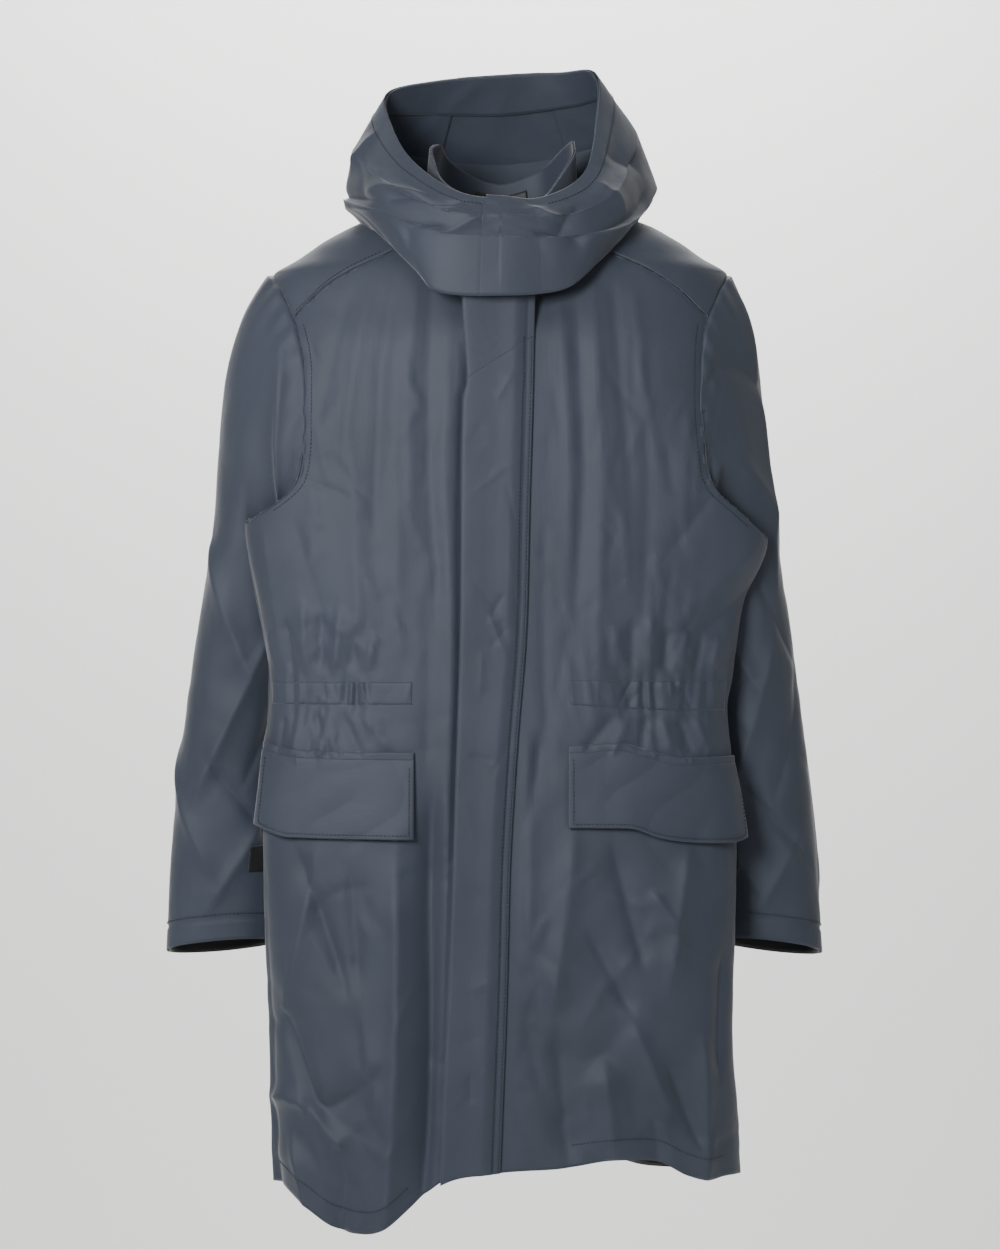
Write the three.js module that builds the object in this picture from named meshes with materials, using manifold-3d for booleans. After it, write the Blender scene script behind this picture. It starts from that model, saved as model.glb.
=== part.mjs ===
// Foul weather jacket: a knee-length hooded coat, as it hangs from its shoulders.
// Millimetres. +Z up, the front faces -Y, the wearer's left is +X.
// The origin is the middle of the neck, level with the back neck seam, where a hanger's neck comes through.
import Module from 'manifold-3d';
import * as THREE from 'three';
import { mergeVertices } from 'three/addons/utils/BufferGeometryUtils.js';

const wasm = await Module();
wasm.setup();

// Cloth and clearances
const CLOTH = 2;                // wall of an outer panel, shell and lining together
const LINING = 1.2;             // wall of a facing or a lining
const GAP = 0.3;                // between layers that lie on each other
const SEAM = 0.6;               // between panels that are sewn edge to edge
const SEAM_LAP = 8;             // the front panels run this far under the yoke before they are trimmed to it

// Body
const COAT_LENGTH = 962;        // back neck seam to hem
const NECK_HALF = 78;
const SHOULDER_HALF = 222;
const SHOULDER_DROP = 62;
const ARMHOLE_DEPTH = 230;      // shoulder tip down to the underarm
const CHEST_HALF = 243;
const WAIST_HALF = 229;
const WAIST_DROP = 464;         // back neck seam down to the middle of the waist channel
const HEM_HALF = 231;
const FRONT_REACH = 95;         // from the hanger's plane to the front's inner face
const BACK_REACH = 95;
const SIDE_REACH = 35;          // how far forward the sides fold as the coat hangs
const HEM_WAVE = 16;            // the hem dips on the wearer's right front
const YOKE_DEPTH = 150;
const NECKLINE_DROP = 118;      // back neck seam down to the front neck seam

// Sleeves
const SLEEVE_LENGTH = 660;      // shoulder tip to cuff
const SLEEVE_SPREAD = 108;      // how far out the cuff hangs past the shoulder tip
const BICEP_HALF = 56;
const CUFF_HALF = 50;
const CUFF_DEPTH_HALF = 32;
const CUFF_FACING = 32;
const TAB_HEIGHT = 28;
const TAB_ABOVE_CUFF = 70;      // cuff to the lower edge of the black tab

// Front closure
const FLY_WIDTH = 73;
const FLY_WIDTH_HEM = 60;
const FLY_LEAN = 28;            // how far the fly drifts to the wearer's right on its way down
const FLY_STAND = 6.5;          // room under the fly for the zip and the studs
const FLY_WALL = 2.4;
const ZIP_OFF_CENTRE = 12;      // from the fly's middle to the zip
const STUD_OFF_CENTRE = -20;
const TAPE_WIDTH = 8;
const TEETH_WIDTH = 2.5;
const TEETH_SPLIT = 1;          // half the slit between the two rows of teeth
const ZIP_TOP = -40;
const ZIP_BOTTOM = -860;
const SLIDER_TOP = -62;
const STUD_TOP = -190;
const STUD_PITCH = 170;
const STUDS = 5;
const STUD_RADIUS = 5.5;
const BALL_RADIUS = 2.2;

// Waist channel and pockets
const CHANNEL_WIDTH = 23;
const CHANNEL_START = 72;       // from the coat's middle to the channel's front end
const ELASTIC_WALL = 1.2;
const FLAP_START = 76;          // from the coat's middle to the flap's front end
const FLAP_TOP_DROP = 521;
const FLAP_DEPTH = 84;
const WELT_WIDTH = 8;
const BAG_DEPTH = 210;
const FACING_WIDTH = 46;
const HEM_FACING = 24;

// Hood and collar
const HOOD_HEIGHT = 158;        // back neck seam up to the rim's back
const RIM_HALF = 104;
const RIM_FRONT_HEIGHT = 30;
const HOOD_SPREAD = 155;        // half width where the side lobes are widest
const HOOD_HEM_DROP = 67;
const HEM_SETTLE = 5.5;          // how far the hood's hem settles on the shoulders at its sides
const HOOD_FRONT = 113;         // from the hanger's plane to the throat
const THROAT_EDGE = -25;        // free edge of the upper throat flap
const THROAT_HINGE = 32;
const COLLAR_HEIGHT = 78;

const UNDERARM = -(SHOULDER_DROP + ARMHOLE_DEPTH);
const CUFF = -(SHOULDER_DROP + SLEEVE_LENGTH);
const HEM = -COAT_LENGTH;
const WAIST = -WAIST_DROP;
const FRONT_BEND = 2.6;         // squareness of the front half of a body section
const SLATE = 0x5b6673;
const BLACK = 0x0b0d10;
const METAL = 0x9aa0a6;
const SLATE_DARK = 0x3d444e;

const group = new THREE.Group();

function add(name, geometry, color = SLATE, roughness = 0.7, metalness = 0) {
  const mesh = new THREE.Mesh(geometry, new THREE.MeshStandardMaterial({ color, roughness, metalness }));
  mesh.name = name;
  group.add(mesh);
  return mesh;
}

const mix = (a, b, t) => a + (b - a) * t;
const clamp = (t) => Math.min(1, Math.max(0, t));
const ease = (t) => clamp(t) ** 2 * (3 - 2 * clamp(t));

// Smooth value along a list of [place, value] pairs whose places run downwards.
function along(knots, place) {
  if (place >= knots[0][0]) return knots[0][1];
  const next = knots.findIndex(([p]) => place > p);
  if (next < 0) return knots[knots.length - 1][1];
  const [p0, v0] = knots[next - 1];
  const [p1, v1] = knots[next];
  const slope = (k) => {
    const before = knots[Math.max(0, k - 1)];
    const after = knots[Math.min(knots.length - 1, k + 1)];
    return (after[1] - before[1]) / (after[0] - before[0]);
  };
  const span = p1 - p0;
  const t = (place - p0) / span;
  const h00 = 2 * t ** 3 - 3 * t ** 2 + 1;
  const h10 = t ** 3 - 2 * t ** 2 + t;
  return h00 * v0 + h10 * span * slope(next - 1) + (1 - h00) * v1 + (t ** 3 - t ** 2) * span * slope(next);
}

// A closed shell: the grid surface(u, v) thickened along its normals from `from` to `from + wall`.
// `centre` gives a point inside, which tells outwards from inwards; `ring` joins u = 1 to u = 0.
function shell(surface, columns, rows, { from = 0, wall = CLOTH, ring = false, centre = torsoCentre } = {}) {
  const across = ring ? columns : columns + 1;
  const at = [];
  for (let j = 0; j <= rows; j += 1) {
    for (let i = 0; i < across; i += 1) at.push(surface(i / columns, j / rows));
  }
  const wrapped = (i) => (ring ? (i + columns) % columns : Math.min(columns, Math.max(0, i)));
  const pick = (i, j) => at[j * across + wrapped(i)];
  const normals = [];
  let outward = 0;
  for (let j = 0; j <= rows; j += 1) {
    for (let i = 0; i < across; i += 1) {
      const du = pick(i + 1, j).clone().sub(pick(i - 1, j));
      const dv = pick(i, Math.min(rows, j + 1)).clone().sub(pick(i, Math.max(0, j - 1)));
      const normal = du.cross(dv).normalize();
      outward += Math.sign(normal.dot(pick(i, j).clone().sub(centre(pick(i, j)))));
      normals.push(normal);
    }
  }
  const sign = outward < 0 ? -1 : 1;
  const count = at.length;
  const positions = new Float32Array(count * 6);
  at.forEach((point, k) => {
    const inner = point.clone().addScaledVector(normals[k], sign * from);
    const outer = point.clone().addScaledVector(normals[k], sign * (from + wall));
    positions.set(outer.toArray(), k * 3);
    positions.set(inner.toArray(), (count + k) * 3);
  });
  const faces = [];
  const quad = (a, b, c, d) => (sign > 0 ? faces.push(a, b, c, a, c, d) : faces.push(a, c, b, a, d, c));
  const id = (i, j, layer) => layer * count + j * across + (ring ? i % columns : i);
  for (let j = 0; j < rows; j += 1) {
    for (let i = 0; i < columns; i += 1) {
      quad(id(i, j, 0), id(i + 1, j, 0), id(i + 1, j + 1, 0), id(i, j + 1, 0));
      quad(id(i, j, 1), id(i, j + 1, 1), id(i + 1, j + 1, 1), id(i + 1, j, 1));
    }
  }
  for (let i = 0; i < columns; i += 1) {
    quad(id(i, 0, 0), id(i, 0, 1), id(i + 1, 0, 1), id(i + 1, 0, 0));
    quad(id(i, rows, 0), id(i + 1, rows, 0), id(i + 1, rows, 1), id(i, rows, 1));
  }
  for (let j = 0; j < rows && !ring; j += 1) {
    quad(id(0, j, 0), id(0, j + 1, 0), id(0, j + 1, 1), id(0, j, 1));
    quad(id(columns, j, 0), id(columns, j, 1), id(columns, j + 1, 1), id(columns, j + 1, 0));
  }
  const geometry = new THREE.BufferGeometry();
  geometry.setAttribute('position', new THREE.BufferAttribute(positions, 3));
  geometry.setIndex(faces);
  return geometry;
}

// ---- Cutting: a piece is trimmed by the pieces it meets, and keeps its largest body ----

function solid(geometry) {
  const bare = geometry.clone();
  bare.deleteAttribute('normal');
  bare.deleteAttribute('uv');
  const merged = mergeVertices(bare, 1e-4);
  return new wasm.Manifold(new wasm.Mesh({
    numProp: 3,
    vertProperties: new Float32Array(merged.getAttribute('position').array),
    triVerts: new Uint32Array(merged.index.array),
  }));
}

function largestBody(manifold) {
  const [body] = manifold.decompose().sort((a, b) => b.volume() - a.volume());
  const mesh = body.getMesh();
  const geometry = new THREE.BufferGeometry();
  geometry.setAttribute('position', new THREE.BufferAttribute(new Float32Array(mesh.vertProperties), 3));
  geometry.setIndex(Array.from(mesh.triVerts));
  return geometry;
}

const cut = (geometry, ...tools) => largestBody(
  tools.reduce((left, tool) => left.subtract(solid(tool)), solid(geometry)),
);
const within = (geometry, region) => largestBody(solid(geometry).intersect(solid(region)));

// A block between two corners, to take a piece out of a layer.
function block([x0, y0, z0], [x1, y1, z1]) {
  const geometry = new THREE.BoxGeometry(Math.abs(x1 - x0), Math.abs(y1 - y0), Math.abs(z1 - z0));
  return geometry.translate((x0 + x1) / 2, (y0 + y1) / 2, (z0 + z1) / 2);
}

// ---- Body: a stack of level sections, squarish in front and pointed behind the side folds ----

const HALF_WIDTHS = [
  [0, NECK_HALF],
  [-0.2 * SHOULDER_DROP, mix(NECK_HALF, SHOULDER_HALF, 0.26)],
  [-0.6 * SHOULDER_DROP, mix(NECK_HALF, SHOULDER_HALF, 0.66)],
  [-SHOULDER_DROP, SHOULDER_HALF + 4],
  [-SHOULDER_DROP - 0.25 * ARMHOLE_DEPTH, CHEST_HALF - 3],
  [UNDERARM, CHEST_HALF],
  [mix(UNDERARM, WAIST, 0.45), mix(CHEST_HALF, WAIST_HALF, 0.3)],
  [WAIST, WAIST_HALF],
  [mix(WAIST, HEM, 0.27), HEM_HALF + 4],
  [HEM, HEM_HALF],
];
const FRONT_FACE = [[0, 60], [-SHOULDER_DROP, 84], [-NECKLINE_DROP, FRONT_REACH]];
const BACK_FACE = [
  [0, 58], [-SHOULDER_DROP, 84], [-YOKE_DEPTH, BACK_REACH], [WAIST, BACK_REACH - 12], [HEM, BACK_REACH],
];
const SIDE_FOLD = [[-SHOULDER_DROP, 0], [UNDERARM, SIDE_REACH]];
const BACK_BEND = [[-SHOULDER_DROP, 2.3], [UNDERARM + 40, 1.75], [UNDERARM, 1.6]];
const DRIFT = [[-SHOULDER_DROP, 0], [UNDERARM, 3], [WAIST, 0], [HEM, 6]];

const frontFace = (z) => (z <= -NECKLINE_DROP ? -FRONT_REACH : -along(FRONT_FACE, z));

function section(z) {
  const side = -along(SIDE_FOLD, z);
  return {
    half: along(HALF_WIDTHS, z),
    side,
    front: side - frontFace(z),
    back: along(BACK_FACE, z) - side,
    bend: along(BACK_BEND, z),
    drift: along(DRIFT, z),
  };
}

function torsoCentre(point) {
  return new THREE.Vector3(0, -along(SIDE_FOLD, point.z) + 20, Math.min(point.z, -40));
}

// Point of the section at a height: angle 0 is the middle of the front, pi the middle of the back.
function bodyPoint(z, angle) {
  const { half, side, front, back, bend, drift } = section(z);
  const power = Math.abs(angle) <= Math.PI / 2 ? 2 / FRONT_BEND : 2 / bend;
  const sin = Math.abs(Math.sin(angle)) ** power;
  const cos = Math.abs(Math.cos(angle)) ** power;
  const y = Math.abs(angle) <= Math.PI / 2 ? side - front * cos : side + back * cos;
  return new THREE.Vector3(drift + Math.sign(angle) * half * sin, y, z);
}

function frontAngle(z, x) {
  const { half, drift } = section(z);
  const share = (x - drift) / half;
  return Math.sign(share) * Math.asin(Math.min(1, Math.abs(share)) ** (FRONT_BEND / 2));
}

function backAngle(z, x) {
  const { half, bend, drift } = section(z);
  const share = (x - drift) / half;
  return (share < 0 ? -1 : 1) * (Math.PI - Math.asin(Math.min(1, Math.abs(share)) ** (bend / 2)));
}

// The point a share of the way along the section's arc between two angles.
function alongSection(z, start, end, share) {
  const steps = 40;
  const points = [];
  const lengths = [0];
  for (let k = 0; k <= steps; k += 1) {
    points.push(bodyPoint(z, mix(start, end, k / steps)));
    if (k > 0) lengths.push(lengths[k - 1] + points[k].distanceTo(points[k - 1]));
  }
  const wanted = share * lengths[steps];
  let k = 1;
  while (k < steps && lengths[k] < wanted) k += 1;
  return points[k - 1].clone().lerp(points[k], (wanted - lengths[k - 1]) / (lengths[k] - lengths[k - 1]));
}

// Armhole: from the shoulder tip down the front and the back edge to the underarm point.
const TIP = -SHOULDER_DROP + 6;
const SIDE_SEAM = 0.62 * Math.PI;
const ARMHOLE_FRONT = [
  [TIP, SHOULDER_HALF - 4],
  [TIP - 28, SHOULDER_HALF - 12],
  [mix(TIP, UNDERARM, 0.4), SHOULDER_HALF - 24],
  [mix(TIP, UNDERARM, 0.75), SHOULDER_HALF - 24],
  [mix(TIP, UNDERARM, 0.9), SHOULDER_HALF - 8],
  [UNDERARM, CHEST_HALF - 8],
];

function armholeAngles(z) {
  const x = along(ARMHOLE_FRONT, z);
  const share = ease((mix(TIP, UNDERARM, 0.8) - z) / (mix(TIP, UNDERARM, 0.8) - UNDERARM));
  const drift = section(z).drift;
  const front = mix(Math.abs(frontAngle(z, drift + x)), SIDE_SEAM, share);
  const back = mix(Math.abs(backAngle(z, drift + x)), SIDE_SEAM, share);
  return { front, back };
}

const sideAngle = (z, face) => (z > UNDERARM ? armholeAngles(z)[face] : SIDE_SEAM);
const seamAngle = 1.5 * SEAM / CHEST_HALF;

const FLY_TOP = -104;
const FLY_SLANT = 42;           // the fly's top edge drops this much towards its free edge
const GUARD_LIFT = 2.6;         // the throat guard ends this far above the fly
const flyShare = (z) => (z + HOOD_HEM_DROP) / (HEM + HOOD_HEM_DROP);
const flyCentre = (z) => -FLY_LEAN * flyShare(z);
const flyHalf = (z) => mix(FLY_WIDTH, FLY_WIDTH_HEM, flyShare(z)) / 2;
const zipLine = (z) => flyCentre(z) + ZIP_OFF_CENTRE;
const EDGE = TEETH_SPLIT + TEETH_WIDTH + TAPE_WIDTH + GAP;     // zip line to a front panel's edge

const hemLevel = (share, side) => HEM - HEM_WAVE * Math.sin(Math.PI * share) * (side < 0 ? 1 : -0.6);
const shoulderSeam = (share) => mix(-20, -SHOULDER_DROP - 20, share);

// Top edge of a front panel: the neckline, then the forward shoulder seam.
function frontTop(share) {
  if (share < 0.45) return mix(-NECKLINE_DROP, -20, Math.sin((share / 0.45) * Math.PI / 2) ** 1.3);
  return shoulderSeam((share - 0.45) / 0.55) + SEAM_LAP * ease((share - 0.45) / 0.1);
}

function frontSurface(side) {
  return (u, v) => {
    const z = mix(frontTop(u), hemLevel(u, side), v ** 0.9);
    const inner = frontAngle(z, zipLine(z) + side * EDGE);
    return alongSection(z, inner, side * (sideAngle(z, 'front') - seamAngle), u);
  };
}

// Yoke: across the back neck and over each shoulder to the forward seam.
const YOKE_FALL = 95;
function ridge(x) {
  if (Math.abs(x) <= NECK_HALF) return 0;
  let [high, low] = [0, -SHOULDER_DROP];
  for (let k = 0; k < 24; k += 1) {
    const middle = (high + low) / 2;
    if (section(middle).half > Math.abs(x)) low = middle;
    else high = middle;
  }
  return (high + low) / 2;
}

function yokeSurface(u, v) {
  const end = SHOULDER_HALF - 8;
  const x = mix(-end, end, u);
  const top = ridge(x);
  const reach = Math.max(0, Math.abs(x) - NECK_HALF);
  const seam = reach === 0 ? 0 : mix(top, shoulderSeam(reach / (end - NECK_HALF)) + SEAM, clamp(reach / 24));
  const first = -Math.sqrt(Math.max(0, top - seam) / YOKE_FALL);
  const last = Math.sqrt((top + YOKE_DEPTH) / YOKE_FALL);
  const t = mix(first, last, v);
  const z = top - YOKE_FALL * t * t;
  const angle = t < 0 ? frontAngle(z, x + section(z).drift) : backAngle(z, x + section(z).drift);
  return bodyPoint(z, angle);
}

function backSurface(u, v) {
  const z = mix(-YOKE_DEPTH - SEAM, HEM + HEM_WAVE * 0.3 * Math.cos(2 * Math.PI * u), v);
  const edge = sideAngle(z, 'back') + seamAngle;
  const share = 2 * Math.abs(u - 0.5);
  return alongSection(z, (u < 0.5 ? -1 : 1) * Math.PI, (u < 0.5 ? -1 : 1) * edge, share);
}

const frontColumns = 14;
const frontRows = 13;
const backColumns = 16;
const backRows = 10;
const grown = { from: -GAP, wall: CLOTH + 2 * GAP };
const yokeClearance = shell(yokeSurface, 20, 9, grown);
const backClearance = shell(backSurface, backColumns, backRows, grown);
const frontClearance = (side) => shell(frontSurface(side), frontColumns, frontRows, grown);
const SIDES = [['right', -1], ['left', 1]];

// A layer that lies on a front or back panel, on the panel's own grid, so that it follows it everywhere.
const onFront = (side, from, wall) => shell(frontSurface(side), frontColumns, frontRows, { from, wall });
const onBack = (from, wall) => shell(backSurface, backColumns, backRows, { from, wall });
const yoke = shell(yokeSurface, 20, 9);
const bodyClearance = [
  yokeClearance, backClearance, frontClearance(-1), frontClearance(1),
  yoke, onBack(0, CLOTH), onFront(-1, 0, CLOTH), onFront(1, 0, CLOTH),
];

function body() {
  for (const [name, side] of SIDES) {
    add(`${name}_front_panel`, cut(onFront(side, 0, CLOTH), yokeClearance, yoke));
  }
  add('back_yoke', yoke);
  add('back_panel', onBack(0, CLOTH));
  const lining = block([-168, 20, -YOKE_DEPTH - 12], [168, 200, WAIST + 40]);
  add('back_lining', within(onBack(-GAP - LINING, LINING), lining), BLACK);
}

// Facings inside the front edges and the hem.
function facings() {
  const inward = -GAP - LINING;
  for (const [name, side] of SIDES) {
    const start = (z) => zipLine(z) + side * (EDGE + 1);
    const top = -NECKLINE_DROP - 40;
    const strip = slantedBar(start, 0, side * FACING_WIDTH, -200, 0, top, HEM + HEM_FACING + 4);
    add(`${name}_front_facing`, within(onFront(side, inward, LINING), strip), SLATE_DARK);
    const hem = block([side * 4, -200, HEM - 50], [side * 300, -SIDE_REACH + 24, HEM + HEM_FACING]);
    add(`${name}_hem_facing`, within(onFront(side, inward, LINING), hem), SLATE_DARK);
  }
  const backHem = block([-300, -SIDE_REACH + 50, HEM - 50], [300, 200, HEM + HEM_FACING]);
  add('back_hem_facing', within(onBack(inward, LINING), backHem), SLATE_DARK);
}

// ---- Front closure ----

const PANEL_FACE = -FRONT_REACH - CLOTH;      // outer face of the front panels at the zip
const flatPoint = (x, y, z) => new THREE.Vector3(x, y, z);

// A bar of constant section that follows the zip's slant: x is measured from the line, from y0 to y1.
function slantedBar(line, x0, x1, y0, y1, top, bottom) {
  const corners = [[x0, y0], [x1, y0], [x1, y1], [x0, y1]];
  const positions = [];
  for (const z of [top, bottom]) corners.forEach(([x, y]) => positions.push(line(z) + x, y, z));
  const geometry = new THREE.BufferGeometry();
  geometry.setAttribute('position', new THREE.BufferAttribute(new Float32Array(positions), 3));
  const sides = [0, 1, 2, 3].flatMap((k) => [k, k + 4, (k + 1) % 4 + 4, k, (k + 1) % 4 + 4, (k + 1) % 4]);
  geometry.setIndex([0, 1, 2, 0, 2, 3, 4, 6, 5, 4, 7, 6, ...sides]);
  return turnedOut(geometry);
}

// The same solid with its faces turned so that its volume is positive.
function turnedOut(geometry) {
  const p = geometry.getAttribute('position');
  const index = Array.from(geometry.index.array);
  const [a, b, c] = [new THREE.Vector3(), new THREE.Vector3(), new THREE.Vector3()];
  let volume = 0;
  for (let k = 0; k < index.length; k += 3) {
    a.fromBufferAttribute(p, index[k]);
    b.fromBufferAttribute(p, index[k + 1]);
    c.fromBufferAttribute(p, index[k + 2]);
    volume += a.dot(b.cross(c));
  }
  if (volume < 0) {
    for (let k = 0; k < index.length; k += 3) [index[k + 1], index[k + 2]] = [index[k + 2], index[k + 1]];
    geometry.setIndex(index);
  }
  return geometry;
}

function zip() {
  const inner = -FRONT_REACH;
  for (const [name, side] of SIDES) {
    const teeth = [side * TEETH_SPLIT, side * (TEETH_SPLIT + TEETH_WIDTH)];
    const tape = [teeth[1] + side * GAP, teeth[1] + side * TAPE_WIDTH];
    const row = slantedBar(zipLine, ...teeth, inner, PANEL_FACE, ZIP_TOP, ZIP_BOTTOM);
    add(`zip_teeth_${name}`, row, BLACK, 0.4);
    const woven = slantedBar(zipLine, ...tape, inner - 0.5, inner - 1.5, ZIP_TOP + 8, ZIP_BOTTOM - 6);
    add(`zip_tape_${name}`, woven, BLACK);
  }
  const half = TEETH_SPLIT + TEETH_WIDTH;
  const box = slantedBar(zipLine, -half, half, inner, PANEL_FACE, ZIP_BOTTOM - GAP, ZIP_BOTTOM - 12);
  add('zip_box', box, METAL, 0.4, 1);
  slider(inner);
}

// Slider: two plates joined by the wedge that runs in the slit between the rows of teeth.
function slider(inner) {
  const plate = TEETH_SPLIT + TEETH_WIDTH + 1;
  const wedge = TEETH_SPLIT - 0.4;
  const [low, lowIn] = [inner + GAP + 1, inner + GAP];
  const [high, highIn] = [PANEL_FACE - GAP - 1.2, PANEL_FACE - GAP];
  const outline = [
    [-plate, low], [plate, low], [plate, lowIn], [wedge, lowIn], [wedge, highIn], [plate, highIn],
    [plate, high], [-plate, high], [-plate, highIn], [-wedge, highIn], [-wedge, lowIn], [-plate, lowIn],
  ];
  const shape = new THREE.Shape(outline.map(([x, y]) => new THREE.Vector2(x, -y)));
  const length = 11;
  const geometry = new THREE.ExtrudeGeometry(shape, { depth: length, bevelEnabled: false });
  const lean = Math.atan2(zipLine(-100) - zipLine(-600), 500);
  const mesh = add('zip_slider', geometry, METAL, 0.35, 1);
  mesh.rotation.set(Math.PI, lean, 0, 'YXZ');
  mesh.position.set(zipLine(SLIDER_TOP), 0, SLIDER_TOP);
  const face = high - GAP;
  const puller = slantedBar(zipLine, -1.8, 1.8, face, face - 1.2, SLIDER_TOP - 3, SLIDER_TOP - 30);
  add('zip_puller', puller, METAL, 0.35, 1);
}

function fly() {
  const seat = PANEL_FACE - GAP;
  const blendWidth = 9;
  const surface = (u, v) => {
    const top = mix(FLY_TOP - FLY_SLANT, FLY_TOP, u);
    const z = mix(top, HEM + 8, v);
    const x = flyCentre(z) + mix(-flyHalf(z), flyHalf(z), u);
    const fromSeam = (1 - u) * 2 * flyHalf(z);
    return flatPoint(x, seat - (FLY_STAND - GAP) * ease(fromSeam / blendWidth), z);
  };
  const stretch = (u) => (u < 0.5 ? u * 1.4 : 0.7 + (u - 0.5) * 0.6);
  const spread = (f) => (u, v) => f(stretch(u), v);
  add('storm_fly', shell(spread(surface), 8, 10, { wall: FLY_WALL }));
  const tab = (u, v) => {
    const bottom = mix(FLY_TOP - FLY_SLANT, FLY_TOP, u) + GUARD_LIFT;
    const z = mix(8, bottom, v);
    const x = flyCentre(FLY_TOP) + mix(-flyHalf(FLY_TOP), flyHalf(FLY_TOP), u);
    const fromSeam = (1 - u) * 2 * flyHalf(FLY_TOP);
    const sewn = frontFace(Math.min(z, FLY_TOP + 24)) - CLOTH - GAP;
    return flatPoint(x, mix(sewn, seat - (FLY_STAND - GAP), ease(fromSeam / blendWidth)), z);
  };
  add('throat_guard', shell(spread(tab), 8, 3, { wall: FLY_WALL }));
  const windflap = (u, v) => {
    const z = mix(-NECKLINE_DROP - 56, HEM + 60, v);
    return flatPoint(zipLine(z) + mix(-22, EDGE + 8, u), -FRONT_REACH + 2 * GAP + LINING + 0.4, z);
  };
  add('inner_wind_flap', shell(windflap, 1, 1, { from: -LINING, wall: LINING }), SLATE_DARK);
  studs(seat);
}

// Press studs: a ball on the wearer's right front, and a socket ring under the fly that takes it.
function studs(seat) {
  const flyInside = seat - (FLY_STAND - GAP);
  const ball = [[0, 0], [STUD_RADIUS, 0], [STUD_RADIUS, 1], [BALL_RADIUS - 0.5, 1], [BALL_RADIUS, 2.4],
    [BALL_RADIUS - 0.6, 3.6], [0, 3.6]];
  const hole = BALL_RADIUS + 0.5;
  const depth = 3;
  const ring = [[hole, 0], [STUD_RADIUS - 0.5, 0], [STUD_RADIUS, depth], [hole, depth], [hole, 0]];
  const lathe = (outline) => new THREE.LatheGeometry(outline.map(([r, h]) => new THREE.Vector2(r, h)), 12);
  for (let k = 0; k < STUDS; k += 1) {
    const z = STUD_TOP - k * STUD_PITCH;
    const x = flyCentre(z) + STUD_OFF_CENTRE;
    const stud = add(`stud_${k + 1}`, lathe(ball), METAL, 0.3, 1);
    stud.rotation.x = Math.PI;
    stud.position.set(x, seat, z);
    const socket = add(`stud_socket_${k + 1}`, lathe(ring), METAL, 0.3, 1);
    socket.rotation.x = Math.PI;
    socket.position.set(x, flyInside + GAP + depth, z);
  }
}

// ---- Waist channels and pockets ----

// Part of a layer on a front panel: from a distance off the middle to the side, between two heights.
function patch(side, [from, wall], start, end, top, bottom) {
  return within(onFront(side, from, wall), block([side * start, -200, top], [side * 300, end, bottom]));
}

function waistAndPockets() {
  const onPanel = CLOTH + GAP;
  const flapEnd = -SIDE_REACH - 12;
  const channelEnd = -SIDE_REACH + 22;
  for (const [name, side] of SIDES) {
    const half = CHANNEL_WIDTH / 2;
    const start = CHANNEL_START - side * 7;
    const layer = [onPanel, ELASTIC_WALL];
    const elastic = patch(side, layer, start + 30, channelEnd, WAIST + half - 4, WAIST - half + 4);
    add(`${name}_waist_elastic`, elastic, BLACK);
    const overElastic = onPanel + ELASTIC_WALL + GAP;
    const channel = patch(side, [overElastic, 1.4], start, channelEnd, WAIST + half, WAIST - half);
    add(`${name}_waist_channel`, channel);
    const first = FLAP_START - side * 8;
    const weltTop = -FLAP_TOP_DROP;
    const weltFoot = weltTop - WELT_WIDTH;
    add(`${name}_pocket_welt`, patch(side, [onPanel, 1.6], first, flapEnd, weltTop, weltFoot));
    const flap = patch(side, [onPanel, CLOTH], first, flapEnd, weltFoot - SEAM, weltTop - FLAP_DEPTH);
    add(`${name}_pocket_flap`, flap);
    const bag = patch(side, [-GAP - 2.4, 2.4], first + 14, flapEnd - 12, weltFoot, weltTop - BAG_DEPTH);
    add(`${name}_pocket_bag`, bag, SLATE_DARK);
  }
}

// ---- Sleeves ----

const SLEEVE_TOP = UNDERARM - 18;
const sleeveShare = (z) => clamp((SLEEVE_TOP - z) / (SLEEVE_TOP - CUFF));
const sleeveOuter = (z) => mix(SHOULDER_HALF + 0.56 * SLEEVE_SPREAD, SHOULDER_HALF + SLEEVE_SPREAD,
  sleeveShare(z) ** 0.8);

// Level section of a hanging sleeve; turn 0 is its outer side, a quarter its front, a half its inner side.
function sleeveSection(side, z, turn) {
  const t = sleeveShare(z);
  const halfWidth = mix(BICEP_HALF - 24, CUFF_HALF, t ** 0.8);
  const halfDepth = mix(BICEP_HALF, CUFF_DEPTH_HALF, t);
  const angle = turn * 2 * Math.PI;
  return new THREE.Vector3(
    side * (sleeveOuter(z) - halfWidth + halfWidth * Math.cos(angle)),
    mix(42, 36, t) - halfDepth * Math.sin(angle),
    z,
  );
}

// Point of the armhole seam: turn 0 is the shoulder tip, a quarter the front, a half the underarm.
function armholePoint(side, turn) {
  const face = turn <= 0.5 ? 'front' : 'back';
  const down = turn <= 0.5 ? turn * 2 : (1 - turn) * 2;
  const z = mix(TIP, UNDERARM + 1, 0.5 - 0.5 * Math.cos(down * Math.PI));
  const angle = armholeAngles(z)[face];
  return bodyPoint(z, side * angle);
}

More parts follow.
